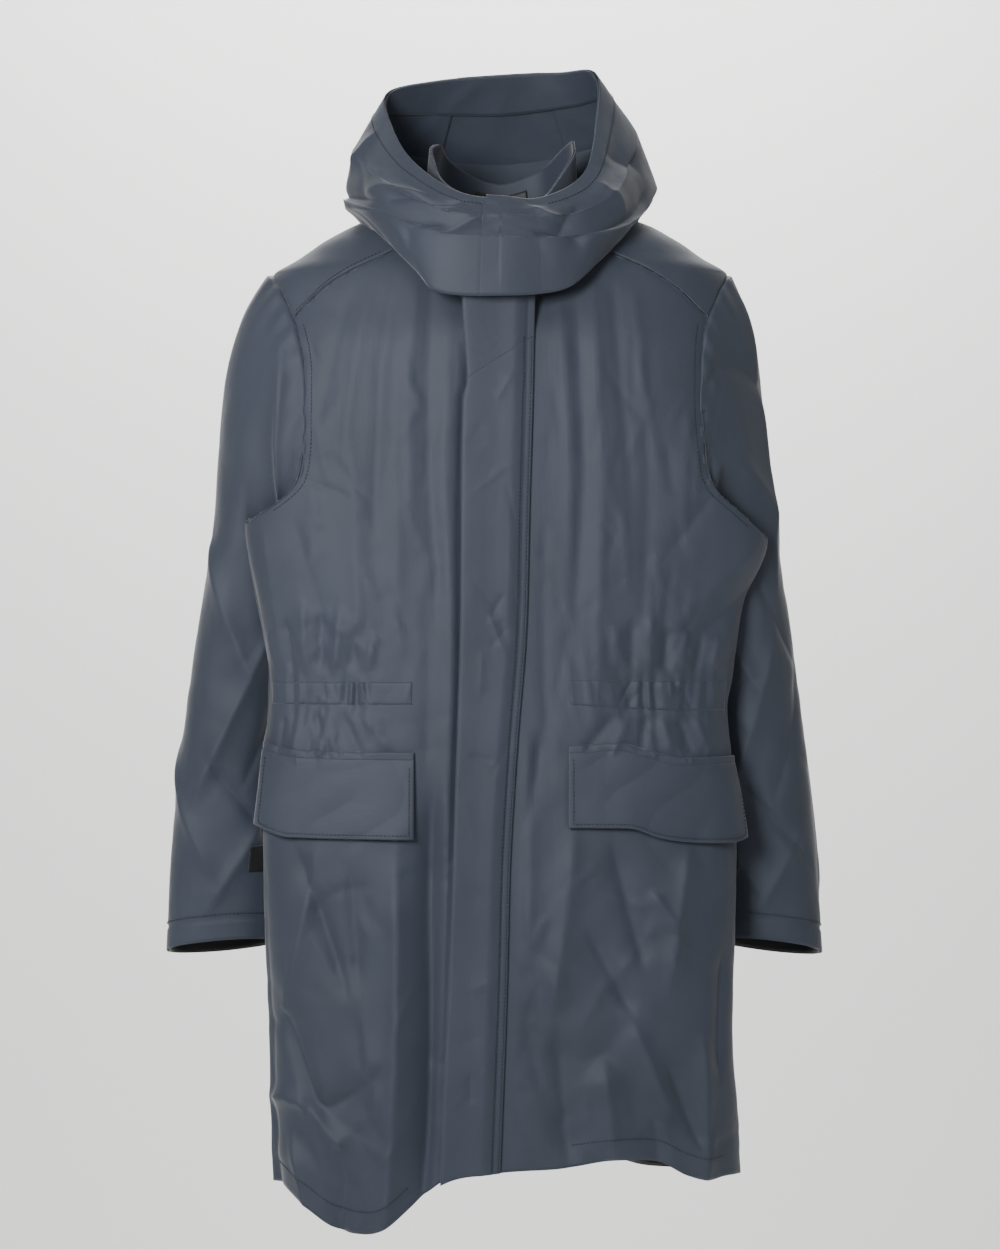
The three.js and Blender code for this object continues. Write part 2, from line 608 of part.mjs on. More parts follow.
const SLEEVE_SEAM = 1.1;        // between the body's edge and the sleeve head
function sleeveSurface(side) {
  const headRows = 5 / 12;
  return (u, v) => {
    if (v >= headRows) return sleeveSection(side, mix(SLEEVE_TOP, CUFF, (v - headRows) / (1 - headRows)), u);
    const start = armholePoint(side, u).add(new THREE.Vector3(side * SLEEVE_SEAM, 0, 0));
    const end = sleeveSection(side, SLEEVE_TOP, u);
    const t = v / headRows;
    const reach = start.distanceTo(end);
    const outwards = new THREE.Vector3(side * 0.8, 0.1, -0.35).multiplyScalar(reach * 0.9 + 8);
    const downwards = new THREE.Vector3(side * 0.12, 0, -1).multiplyScalar(reach * 0.9);
    const h00 = 2 * t ** 3 - 3 * t ** 2 + 1;
    return start.multiplyScalar(h00).addScaledVector(end, 1 - h00)
      .addScaledVector(outwards, t ** 3 - 2 * t ** 2 + t)
      .addScaledVector(downwards, t ** 3 - t ** 2);
  };
}

function sleeves() {
  for (const [name, side] of SIDES) {
    const centre = (p) => new THREE.Vector3(side * (sleeveOuter(Math.min(p.z, SLEEVE_TOP)) - 45), 38, p.z);
    const tube = shell(sleeveSurface(side), 16, 12, { ring: true, centre });
    add(`${name}_sleeve`, cut(tube, ...bodyClearance));
    const facing = (u, v) => sleeveSection(side, mix(CUFF + CUFF_FACING, CUFF + 1.5, v), u);
    const turnedIn = { ring: true, centre, from: -GAP - LINING, wall: LINING };
    add(`${name}_cuff_facing`, shell(facing, 16, 1, turnedIn),
      SLATE_DARK);
    const tabFoot = CUFF + TAB_ABOVE_CUFF;
    const tab = (u, v) => sleeveSection(side, mix(tabFoot + TAB_HEIGHT, tabFoot, v),
      mix(0.375, 0.625, u));
    add(`${name}_cuff_tab`, shell(tab, 4, 1, { centre, from: CLOTH + GAP, wall: 1.6 }), BLACK);
  }
}

// ---- Collar and hood ----

// Neck ring, turn 0 in the middle of the front and a half at the back.
// Lift 0 is the seam, 1 the collar's top.
function collarPoint(turn, lift) {
  const angle = turn * 2 * Math.PI;
  const back = 0.5 - 0.5 * Math.cos(angle);
  const base = mix(-NECKLINE_DROP, 1, back ** 0.62);
  const height = mix(NECKLINE_DROP - 30, COLLAR_HEIGHT, back ** 0.5);
  const front = frontFace(base) + 0.1;
  const width = mix(NECK_HALF + 9, NECK_HALF - 14, lift);
  const x = width * Math.sin(angle) * (1 - 0.25 * Math.cos(angle) * (1 - lift));
  const y = mix(mix(front, -FRONT_REACH + 6, lift), mix(54, 44, lift), back);
  return new THREE.Vector3(x, y, base + height * lift);
}

// Rim of the hood's opening: low at the throat, high and square at the back.
function rimPoint(angle) {
  const back = 0.5 - 0.5 * Math.cos(angle);
  const square = Math.cos(angle) < 0 ? 0.55 : 1;
  return new THREE.Vector3(
    -6 + RIM_HALF * Math.sign(Math.sin(angle)) * Math.abs(Math.sin(angle)) ** square,
    mix(-HOOD_FRONT, 62, back),
    mix(RIM_FRONT_HEIGHT, HOOD_HEIGHT, back ** 0.9),
  );
}

// Hem of the hood: below the throat in front, over the shoulders at the sides, on the neck behind.
function hemPoint(angle) {
  const back = 0.5 - 0.5 * Math.cos(angle);
  return new THREE.Vector3(
    mix(1.12, 1, back) * 100 * Math.sin(angle),
    mix(-HOOD_FRONT - 2, 86, back ** 1.4),
    mix(-HOOD_HEM_DROP, 4, clamp(back * 2.6)) - HEM_SETTLE * Math.sin(angle) ** 2,
  );
}

function hoodSurface(start, end, from = 0, to = 1) {
  return (u, v) => {
    const angle = mix(start, end, u);
    const w = mix(from, to, v);
    const rim = rimPoint(angle);
    const hem = hemPoint(angle);
    const side = Math.abs(Math.sin(angle));
    const back = 0.5 - 0.5 * Math.cos(angle);
    const swell = new THREE.Vector3(
      Math.sign(Math.sin(angle)) * (HOOD_SPREAD * 1.34) * side ** 1.4 + rim.x * (1 - side ** 1.4),
      mix(-HOOD_FRONT - 12, 142, back),
      mix(-24, mix(26, 62, clamp(back * 2 - 1)), clamp(back * 2)),
    );
    rim.multiplyScalar((1 - w) ** 2);
    rim.addScaledVector(swell, 2 * w * (1 - w));
    return rim.addScaledVector(hem, w * w);
  };
}

const hoodCentre = (p) => new THREE.Vector3(0, 0, Math.min(60, Math.max(-20, p.z)));
const throatAngle = (x) => Math.asin(x / RIM_HALF);

const NECK_OPEN = 0.045;         // share of the neck ring left open at the zip, on each side
const neckCentre = (p) => new THREE.Vector3(0, -10, p.z);
const collarSurface = (u, v) => collarPoint(mix(NECK_OPEN, 1 - NECK_OPEN, u), v);

function collar() {
  const centre = neckCentre;
  const [columns, rows] = [20, 4];
  add('stand_collar', cut(shell(collarSurface, columns, rows, { centre }), ...bodyClearance));
  const lining = shell(collarSurface, columns, rows, { centre, from: -GAP - LINING, wall: LINING });
  add('collar_lining', cut(lining, ...bodyClearance), BLACK);
}

function hood() {
  const centre = hoodCentre;
  const seamTurn = SEAM / 2 / RIM_HALF;
  const [back, full] = [Math.PI, 2 * Math.PI];
  const panelRight = back + 0.42;
  const panelLeft = back - 0.5;
  const rows = 9;
  const panels = {
    hood_left_side: [throatAngle(THROAT_HINGE + 6) + 0.01, panelLeft - seamTurn, 12],
    hood_centre_panel: [panelLeft + seamTurn, panelRight - seamTurn, 5],
    hood_right_side: [panelRight + seamTurn, full + throatAngle(THROAT_HINGE - 10), 14],
  };
  const columnAngles = [];
  for (const [name, [start, end, columns]] of Object.entries(panels)) {
    add(name, shell(hoodSurface(start, end), columns, rows, { centre }));
    for (let k = columnAngles.length ? 1 : 0; k <= columns; k += 1) {
      columnAngles.push(mix(start, end, k / columns));
    }
  }
  const inward = { centre, from: -GAP - LINING, wall: LINING };
  const band = (first, last, from, to) => {
    const count = last - first;
    const surface = (u, v) => hoodSurface(0, columnAngles[first + Math.round(u * count)], from, to)(1, v);
    return shell(surface, count, 1, inward);
  };
  const lastColumn = columnAngles.length - 3;
  add('hood_facing', band(0, lastColumn, 0, 1 / rows), SLATE_DARK);
  add('hood_zip_tape', cut(band(4, lastColumn - 3, 1 - 1 / rows, 1), ...bodyClearance), BLACK);
  const flap = hoodSurface(throatAngle(THROAT_EDGE + 6), throatAngle(THROAT_HINGE + 6));
  const flapShell = shell(flap, 6, rows, { centre, from: CLOTH + 2 * GAP, wall: CLOTH });
  const clearance = Object.values(panels).map(([start, end, columns]) => (
    shell(hoodSurface(start, end), columns, rows, { centre, ...grown })));
  add('throat_flap', cut(flapShell, ...clearance));
  const hem = hoodSurface(0, 0.88)(1, 1);
  const slide = block([-2.5, -1.5, -11], [2.5, 1.5, -GAP - 0.6]);
  add('hood_zip_slider', slide, METAL, 0.3, 1).position.copy(hem).add(new THREE.Vector3(-1.5, 4.5, 0));
}

// Hanging loop and blank size label inside the back neck, held by the collar's lining.
function neckPieces() {
  const [half, low, high, thick] = [34, 14, 22, 3];
  const liningFace = (x, z) => {
    let turn = 0.5;
    while (Math.abs(collarPoint(turn, 0.3).x) < x) turn -= 0.002;
    const lift = clamp((z - collarPoint(turn, 0).z) / COLLAR_HEIGHT);
    return collarPoint(turn, lift).y - GAP - LINING;
  };
  const strap = new THREE.Shape();
  strap.moveTo(-half, low - 9);
  strap.lineTo(-half + 5, low - 9);
  strap.lineTo(-half + 5, low);
  strap.lineTo(half - 5, low);
  strap.lineTo(half - 5, low - 9);
  strap.lineTo(half, low - 9);
  strap.lineTo(half, high);
  strap.lineTo(-half, high);
  const loop = new THREE.ExtrudeGeometry(strap, { depth: thick, bevelEnabled: false });
  const hang = add('hang_loop', loop, BLACK);
  hang.rotation.x = Math.PI / 2;
  hang.position.set(0, liningFace(half, high) - 3 * GAP, 0);
  const inside = { centre: neckCentre, from: -2 * GAP - LINING, wall: LINING + GAP };
  const lining = shell(collarSurface, 20, 4, inside);
  const label = shell((u, v) => collarPoint(mix(0.45, 0.55, u), mix(0.42, 0.62, v)), 2, 1,
    { centre: neckCentre, from: -GAP - LINING - GAP - 0.8, wall: 0.8 });
  add('neck_label', cut(label, lining), 0x23272d);
}

body();
facings();
zip();
fly();
waistAndPockets();
sleeves();
collar();
hood();
neckPieces();

export default group;
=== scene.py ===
"""A foul weather jacket: a long hooded coat of slate cloth with a storm fly, waist tunnels and flap pockets.

Metres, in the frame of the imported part: the origin is the middle of the neck, +Z is up and the front
faces -Y. The wearer's left is +X. A "drop" is a distance below the neck.
"""

import bpy
import numpy as np
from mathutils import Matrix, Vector


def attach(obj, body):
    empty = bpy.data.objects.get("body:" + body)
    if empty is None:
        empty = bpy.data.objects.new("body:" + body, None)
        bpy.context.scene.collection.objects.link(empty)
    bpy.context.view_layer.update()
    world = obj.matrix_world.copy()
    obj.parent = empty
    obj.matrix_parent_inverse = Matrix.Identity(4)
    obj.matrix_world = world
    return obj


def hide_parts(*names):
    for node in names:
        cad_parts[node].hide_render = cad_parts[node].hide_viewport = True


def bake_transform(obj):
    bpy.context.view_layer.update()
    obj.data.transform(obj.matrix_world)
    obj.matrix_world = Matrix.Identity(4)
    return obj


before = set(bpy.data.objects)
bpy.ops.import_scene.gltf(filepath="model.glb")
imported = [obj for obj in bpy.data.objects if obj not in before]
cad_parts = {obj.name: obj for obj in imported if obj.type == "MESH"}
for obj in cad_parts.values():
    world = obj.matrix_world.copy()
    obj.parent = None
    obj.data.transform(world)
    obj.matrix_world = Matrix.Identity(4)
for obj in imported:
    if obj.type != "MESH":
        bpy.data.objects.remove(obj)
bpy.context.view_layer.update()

# --- The shape of the coat -------------------------------------------------------------------------
# The coat hangs flat: wide from side to side and shallow from front to back, drawn in at the waist.
# Each half width is (drop, half width), and the two sides differ a little, as cloth does.

HALF_WIDTH_LEFT = [(-0.03, 0.07), (-0.016, 0.13), (0.005, 0.176), (0.025, 0.205), (0.04, 0.2296),
                   (0.083, 0.240), (0.17, 0.252), (0.26, 0.262), (0.309, 0.2702), (0.37, 0.247),
                   (0.45, 0.2339), (0.476, 0.2298), (0.526, 0.2339), (0.632, 0.2389), (0.718, 0.2369),
                   (0.813, 0.2349), (0.884, 0.2399), (0.945, 0.2419)]
HALF_WIDTH_RIGHT = [(-0.03, 0.07), (-0.016, 0.13), (0.005, 0.176), (0.025, 0.205), (0.04, 0.2296),
                    (0.083, 0.240), (0.14, 0.248), (0.2, 0.253), (0.294, 0.2571), (0.37, 0.244),
                    (0.45, 0.2319), (0.476, 0.2319), (0.526, 0.2389), (0.602, 0.2379), (0.672, 0.2359),
                    (0.793, 0.2288), (0.955, 0.2218)]
FRONT_FACE = [(-0.03, 0.045), (0.0, 0.060), (0.04, 0.078), (0.075, 0.088), (0.118, 0.0965), (1.0, 0.0965)]
BACK_FACE = [(-0.03, 0.045), (0.0, 0.058), (0.062, 0.084), (0.15, 0.095), (0.464, 0.083), (0.962, 0.098)]
WIDEST_AT = [(-0.03, 0.0), (0.062, 0.0), (0.292, -0.03), (0.96, -0.03)]
BACK_ROUNDNESS = [(-0.03, 2.3), (0.062, 2.3), (0.252, 1.75), (0.292, 1.65), (0.96, 1.65)]
FRONT_ROUNDNESS = 2.6


def curve(knots, t, steady=True):
    """Smooth line through knots (t, value, ...): a cubic Hermite in each gap, slopes from the neighbours.
    A steady line never swings past its knots: its slopes are held to three times the flatter side."""
    knots = np.asarray(knots, float)
    at, value = knots[:, 0], knots[:, 1:]
    slope = np.gradient(value, at, axis=0)
    if steady:
        rise = np.diff(value, axis=0) / np.diff(at)[:, None]
        before, after = rise[:-1], rise[1:]
        limit = 3 * np.minimum(np.abs(before), np.abs(after)) * (before * after > 0)
        slope[1:-1] = np.clip(slope[1:-1], -limit, limit)
    t = np.clip(np.asarray(t, float), at[0], at[-1])
    i = np.clip(np.searchsorted(at, t, side="right") - 1, 0, len(at) - 2)
    gap = at[i + 1] - at[i]
    s = ((t - at[i]) / gap)[..., None]
    gap = gap[..., None]
    out = (value[i] * (2 * s**3 - 3 * s**2 + 1) + slope[i] * gap * (s**3 - 2 * s**2 + s)
           + value[i + 1] * (3 * s**2 - 2 * s**3) + slope[i + 1] * gap * (s**3 - s**2))
    return out[..., 0] if value.shape[1] == 1 else out


def ease(t):
    """Soft step: 0 below 0, 1 above 1, and 3t^2 - 2t^3 between."""
    t = np.clip(t, 0, 1)
    return t * t * (3 - 2 * t)


def half_width(drop, side):
    return np.where(side > 0, curve(HALF_WIDTH_LEFT, drop), curve(HALF_WIDTH_RIGHT, drop))


def on_body(angle, drop):
    """Point of the coat: a level superellipse, |x/a|^n + |y/b|^n = 1, with angle 0 in front and +-pi/2 at
    the sides."""
    side = np.where(angle < 0, -1, 1)
    a = half_width(drop, side)
    middle = curve(WIDEST_AT, drop)
    s, c = np.abs(np.sin(angle)), np.cos(angle)
    n = np.where(c > 0, FRONT_ROUNDNESS, curve(BACK_ROUNDNESS, drop))
    b = np.where(c > 0, curve(FRONT_FACE, drop) + middle, curve(BACK_FACE, drop) - middle)
    far = (s**n + np.abs(c) ** n) ** (1 / n)
    return np.stack([side * a * s / far, middle - b * c / far, -drop + 0 * s], -1)


def front_angle(x, drop):
    """The angle of the front point at x: tan(angle) = q / (1 - q^n)^(1/n), with q = |x| / a."""
    side = np.where(x < 0, -1, 1)
    q = np.clip(np.abs(x) / half_width(drop, side), 0, 1)
    return side * np.arctan2(q, (1 - q**FRONT_ROUNDNESS) ** (1 / FRONT_ROUNDNESS))


def normals(points):
    """Unit normals of a grid of points: the cross product of its two directions."""
    along = np.gradient(points, axis=1)
    down = np.gradient(points, axis=0)
    n = np.cross(down, along)
    return n / np.maximum(np.linalg.norm(n, axis=-1, keepdims=True), 1e-9)


def outward(points):
    """The normals, turned to face away from the coat's middle line."""
    n = normals(points)
    facing = (n[..., :2] * points[..., :2]).sum(-1, keepdims=True)
    return n * np.where(facing < 0, -1.0, 1.0)


# --- The cloth and its folds -----------------------------------------------------------------------
# A tight slate cloth with a soft sheen. The folds are ridges and valleys pushed out of the smooth coat:
# long ones hanging from the shoulders, fans where the waist is drawn in, and broad ones in the skirt.

RNG = np.random.default_rng(11)
ZIP_LINE = [(0.0, 0.012), (0.067, 0.012), (0.962, -0.016)]
HEM_DROP = [(-0.26, 0.953), (-0.222, 0.9545), (-0.199, 0.9664), (-0.167, 0.992), (-0.133, 0.9975),
            (-0.113, 0.991), (-0.090, 0.972), (-0.074, 0.9575), (-0.059, 0.9467), (0.0, 0.9358),
            (0.059, 0.9319), (0.118, 0.924), (0.158, 0.927), (0.187, 0.9417), (0.207, 0.9467),
            (0.225, 0.9447), (0.26, 0.944)]
CHEST_FOLDS = [
    (-0.105, -0.05, -0.13, -0.33, 0.010, -0.0045), (-0.085, -0.05, -0.088, -0.30, 0.009, 0.0045),
    (-0.070, -0.05, -0.064, -0.42, 0.009, -0.0050), (-0.125, -0.05, -0.160, -0.24, 0.008, 0.0035),
    (-0.052, -0.08, -0.050, -0.70, 0.010, 0.0045), (-0.145, -0.06, -0.185, -0.20, 0.007, -0.0030),
    (-0.100, -0.10, -0.105, -0.40, 0.012, 0.0040), (-0.150, -0.20, -0.140, -0.42, 0.016, 0.0050),
    (-0.205, -0.29, -0.165, -0.42, 0.010, -0.0040), (-0.235, -0.30, -0.215, -0.43, 0.009, 0.0040),
    (-0.190, -0.24, -0.190, -0.36, 0.010, 0.0030), (-0.075, -0.35, -0.070, -0.62, 0.010, -0.0035),
    (-0.197, -0.250, -0.150, -0.270, 0.006, -0.0025), (-0.197, -0.230, -0.160, -0.215, 0.005, 0.0020),
    (0.060, -0.06, 0.070, -0.34, 0.009, 0.0045), (0.077, -0.06, 0.078, -0.40, 0.008, -0.0045),
    (0.096, -0.06, 0.100, -0.48, 0.011, 0.0050), (0.115, -0.05, 0.128, -0.28, 0.008, -0.0040),
    (0.135, -0.06, 0.155, -0.24, 0.009, 0.0035), (0.150, -0.12, 0.140, -0.38, 0.013, -0.0040),
    (0.262, -0.315, 0.165, -0.400, 0.014, 0.0055), (0.255, -0.355, 0.178, -0.420, 0.010, -0.0045),
    (0.215, -0.265, 0.160, -0.330, 0.010, -0.0035), (0.235, -0.385, 0.205, -0.445, 0.008, 0.0035),
    (0.045, -0.30, 0.046, -0.55, 0.009, -0.0035), (0.190, -0.18, 0.180, -0.32, 0.010, 0.0030),
]
WAIST_FOLDS = [
    (-0.222, -0.435, -0.228, -0.401, 0.006, 0.0040), (-0.205, -0.440, -0.211, -0.390, 0.006, -0.0040),
    (-0.190, -0.440, -0.194, -0.372, 0.007, 0.0045), (-0.176, -0.440, -0.177, -0.384, 0.006, -0.0045),
    (-0.161, -0.440, -0.159, -0.378, 0.007, 0.0045), (-0.147, -0.440, -0.141, -0.397, 0.006, -0.0035),
    (-0.133, -0.440, -0.124, -0.403, 0.006, 0.0030),
    (-0.215, -0.485, -0.222, -0.525, 0.006, -0.0035), (-0.198, -0.485, -0.206, -0.527, 0.006, 0.0035),
    (-0.181, -0.482, -0.166, -0.527, 0.006, -0.0050), (-0.168, -0.482, -0.176, -0.527, 0.006, 0.0045),
    (-0.153, -0.482, -0.134, -0.525, 0.006, -0.0045), (-0.137, -0.480, -0.105, -0.520, 0.007, 0.0035),
    (0.118, -0.435, 0.114, -0.395, 0.006, 0.0035), (0.133, -0.438, 0.130, -0.390, 0.006, -0.0040),
    (0.148, -0.440, 0.147, -0.381, 0.007, 0.0045), (0.163, -0.440, 0.164, -0.397, 0.006, -0.0045),
    (0.178, -0.440, 0.182, -0.400, 0.007, 0.0045), (0.193, -0.440, 0.199, -0.406, 0.006, -0.0040),
    (0.208, -0.438, 0.215, -0.408, 0.006, 0.0035),
    (0.116, -0.485, 0.085, -0.520, 0.007, -0.0040), (0.131, -0.485, 0.113, -0.523, 0.006, 0.0040),
    (0.147, -0.486, 0.143, -0.520, 0.006, -0.0045), (0.162, -0.487, 0.172, -0.522, 0.006, 0.0045),
    (0.178, -0.487, 0.193, -0.524, 0.006, -0.0045), (0.194, -0.487, 0.208, -0.524, 0.006, 0.0040),
]
SKIRT_FOLDS = [
    (-0.064, -0.56, -0.078, -0.99, 0.017, -0.0120), (-0.100, -0.62, -0.112, -0.99, 0.020, 0.0080),
    (-0.150, -0.64, -0.140, -0.80, 0.012, -0.0035), (-0.205, -0.62, -0.155, -0.74, 0.013, -0.0050),
    (-0.185, -0.62, -0.215, -0.78, 0.012, 0.0045), (-0.150, -0.72, -0.120, -0.84, 0.014, 0.0040),
    (-0.235, -0.86, -0.185, -0.845, 0.010, 0.0045), (-0.185, -0.845, -0.115, -0.800, 0.010, -0.0045),
    (-0.185, -0.845, -0.150, -0.865, 0.009, 0.0040), (-0.215, -0.77, -0.180, -0.840, 0.012, -0.0040),
    (-0.205, -0.885, -0.180, -0.990, 0.016, 0.0060), (-0.150, -0.87, -0.160, -1.00, 0.018, -0.0050),
    (-0.230, -0.91, -0.222, -0.97, 0.009, -0.0040),
    (0.022, -0.50, 0.028, -0.72, 0.010, 0.0035), (0.040, -0.50, 0.020, -0.60, 0.009, -0.0035),
    (0.070, -0.60, 0.055, -0.78, 0.016, 0.0045), (0.110, -0.61, 0.140, -0.74, 0.014, -0.0045),
    (0.150, -0.66, 0.175, -0.70, 0.009, 0.0035), (0.190, -0.62, 0.165, -0.76, 0.013, 0.0045),
    (0.085, -0.70, 0.130, -0.79, 0.011, -0.0040), (0.130, -0.80, 0.165, -0.88, 0.012, 0.0040),
    (0.165, -0.84, 0.200, -0.91, 0.010, -0.0040), (0.060, -0.80, 0.070, -0.94, 0.018, -0.0050),
    (0.105, -0.84, 0.115, -0.94, 0.018, 0.0055), (0.200, -0.80, 0.205, -0.95, 0.015, 0.0050),
    (0.225, -0.72, 0.215, -0.84, 0.010, -0.0040), (0.155, -0.90, 0.160, -0.95, 0.012, -0.0035),
]


def creases(x, z, lines):
    """Sum of soft ridges (x0, z0, x1, z1, width, height): each is height times
    exp(-|distance / (0.8 width)|^1.25), narrower and lower towards its ends."""
    total = np.zeros(np.broadcast(x, z).shape)
    for x0, z0, x1, z1, width, height in lines:
        length = np.hypot(x1 - x0, z1 - z0)
        u = ((x - x0) * (x1 - x0) + (z - z0) * (z1 - z0)) / length**2
        across = ((x - x0) * (z1 - z0) - (z - z0) * (x1 - x0)) / length
        ends = ease(u / 0.3 + 0.3) * ease((1 - u) / 0.3 + 0.3)
        total += height * ends * np.exp(-np.abs(across / (0.8 * width * (0.45 + 0.55 * ends))) ** 1.25)
    return total


def scattered(count, box, length, lean, width, height):
    """A seeded set of small creases inside box (x0, x1, z0, z1), leaning about straight down."""
    x = RNG.uniform(box[0], box[1], count)
    z = RNG.uniform(box[2], box[3], count)
    angle = RNG.normal(0, lean, count)
    size = RNG.uniform(*length, count)
    tall = RNG.uniform(*height, count) * RNG.choice([-1, 1], count)
    wide = RNG.uniform(*width, count)
    return np.stack([x, z, x + size * np.sin(angle), z - size * np.cos(angle), wide, tall], -1)


SMALL_CREASES = np.concatenate([
    scattered(46, (-0.21, -0.045, -0.42, -0.09), (0.03, 0.09), 0.35, (0.003, 0.006), (0.0004, 0.0011)),
    scattered(46, (0.045, 0.21, -0.42, -0.09), (0.03, 0.09), 0.35, (0.003, 0.006), (0.0004, 0.0011)),
    scattered(60, (-0.22, 0.22, -0.95, -0.60), (0.03, 0.10), 0.9, (0.004, 0.008), (0.0005, 0.0013)),
    scattered(34, (-0.21, -0.12, -0.52, -0.38), (0.015, 0.04), 0.3, (0.002, 0.004), (0.0006, 0.0014)),
    scattered(34, (0.11, 0.21, -0.52, -0.38), (0.015, 0.04), 0.3, (0.002, 0.004), (0.0006, 0.0014)),
])
GATHERS = [(-0.225, -0.125), (0.110, 0.228)]
TUNNEL_DROP = 0.463
FLY_LEFT = [(0.0, -0.0350), (0.0748, -0.0374), (0.1536, -0.0325), (0.1733, -0.0365), (0.41, -0.0394),
            (0.567, -0.0443), (0.666, -0.0473), (0.764, -0.0512), (0.863, -0.0562), (0.95, -0.0591)]


def rumple(x, z, size=1.0):
    """Crisp small rumpling: a sum of |sin| ridges at five slants (slant, pitch, bend), each bent by a slow
    wave and shown in patches."""
    total = 0 * x + 0 * z
    ridges = ((0.15, 62, 1.9), (-0.35, 47, 2.4), (0.9, 38, 2.1), (-1.1, 55, 1.7), (0.05, 95, 1.5))
    for k, (slant, pitch, bend) in enumerate(ridges):
        along = x * np.cos(slant) + z * np.sin(slant)
        across = z * np.cos(slant) - x * np.sin(slant)
        phase = pitch * along + bend * np.sin(across * 17 + 2 * k)
        phase = phase + 1.3 * np.sin(across * 41 + along * 23 + k)
        patch = ease(0.5 + 0.9 * np.sin(across * 12 + 3 * k + 2 * np.sin(along * 21 + k)))
        total = total + patch * (np.abs(np.sin(phase)) - 0.64) / (1 + 0.5 * k)
    return total * 0.0011 * size


def hem_fall(x, drop):
    """How far the skirt hangs below its grid: the wavy hem, shared over the lowest 0.34 m."""
    return (curve(HEM_DROP, x) - 0.94) * ease((drop - 0.60) / 0.34)


def gathered(x, z):
    """Small upright pleats of the two drawn-in tunnels: a cosine of x, strongest at the tunnel."""
    total = 0 * x
    for start, end in GATHERS:
        inside = ease((x - start) / 0.012) * ease((end - x) / 0.012)
        above = z + TUNNEL_DROP
        beat = np.cos(x * 360 + 3.5 * np.sin(x * 53) + 1.6 * np.sin(x * 127) + above * 45 * np.sin(x * 90))
        beat = beat * (0.7 + 0.3 * np.sin(x * 83 + 1))
        total = total + inside * beat * 0.0019 * np.exp(-((above / 0.024) ** 2))
        total = total - inside * 0.0030 * np.exp(-((above / 0.030) ** 2))
    return total


def folds(angle, drop):
    """Push of the cloth out of the smooth coat: creases in front, long soft waves at the sides and back."""
    point = on_body(angle, drop)
    x, z = point[..., 0], point[..., 2]
    near_zip = ease((np.abs(x - curve(ZIP_LINE, drop)) - 0.016) / 0.024)
    front = ease((np.cos(angle) + 0.05) / 0.35)
    bent = x + 0.003 * np.sin(z * 15 + x * 23)
    push = 0.55 * creases(bent, z, CHEST_FOLDS) + 0.8 * creases(bent, z, WAIST_FOLDS)
    push = push + 1.45 * creases(bent, z, SKIRT_FOLDS)
    lower = 0.35 + 0.55 * ease((drop - 0.36) / 0.16)
    push = (push + 1.2 * creases(bent, z, SMALL_CREASES) + rumple(x, z, lower)) * near_zip * front
    push = push + gathered(x, z) * front
    fly_groove = np.exp(-(((x - curve(FLY_LEFT, drop) - 0.001) / 0.0045) ** 2)) * ease((drop - 0.1) / 0.06)
    push = push - 0.0045 * front * fly_groove
    low = ease((drop - 0.45) / 0.5)
    side = (1 - front) * ease((drop - 0.05) / 0.12)
    waves = np.cos(angle * 9 + 1.3) * (0.0015 + 0.005 * low)
    waves = waves + np.cos(angle * 17 + drop * 7) * (0.001 + 0.0015 * low)
    pleats = np.cos(angle * 52 + 2.6 * np.sin(angle * 11) + 1.5 * np.sin(angle * 29 + drop * 40))
    waves = waves + 0.0014 * pleats * np.exp(-(((drop - TUNNEL_DROP) / 0.026) ** 2))
    return push + side * (waves + rumple(angle * 0.22, z, 1.1))


def coat(angle, drop, lift=0.0):
    """Grid of points on the coat, pushed out along the normal by its folds and lift, with the hem hanging."""
    base = on_body(angle, drop)
    points = base + outward(base) * (folds(angle, drop) + lift)[..., None]
    front = ease((np.cos(angle) + 0.3) / 0.6)
    back_fall = (0.955 - 0.94) * ease((drop - 0.6) / 0.34)
    points[..., 2] -= hem_fall(base[..., 0], drop) * front + back_fall * (1 - front)
    return points


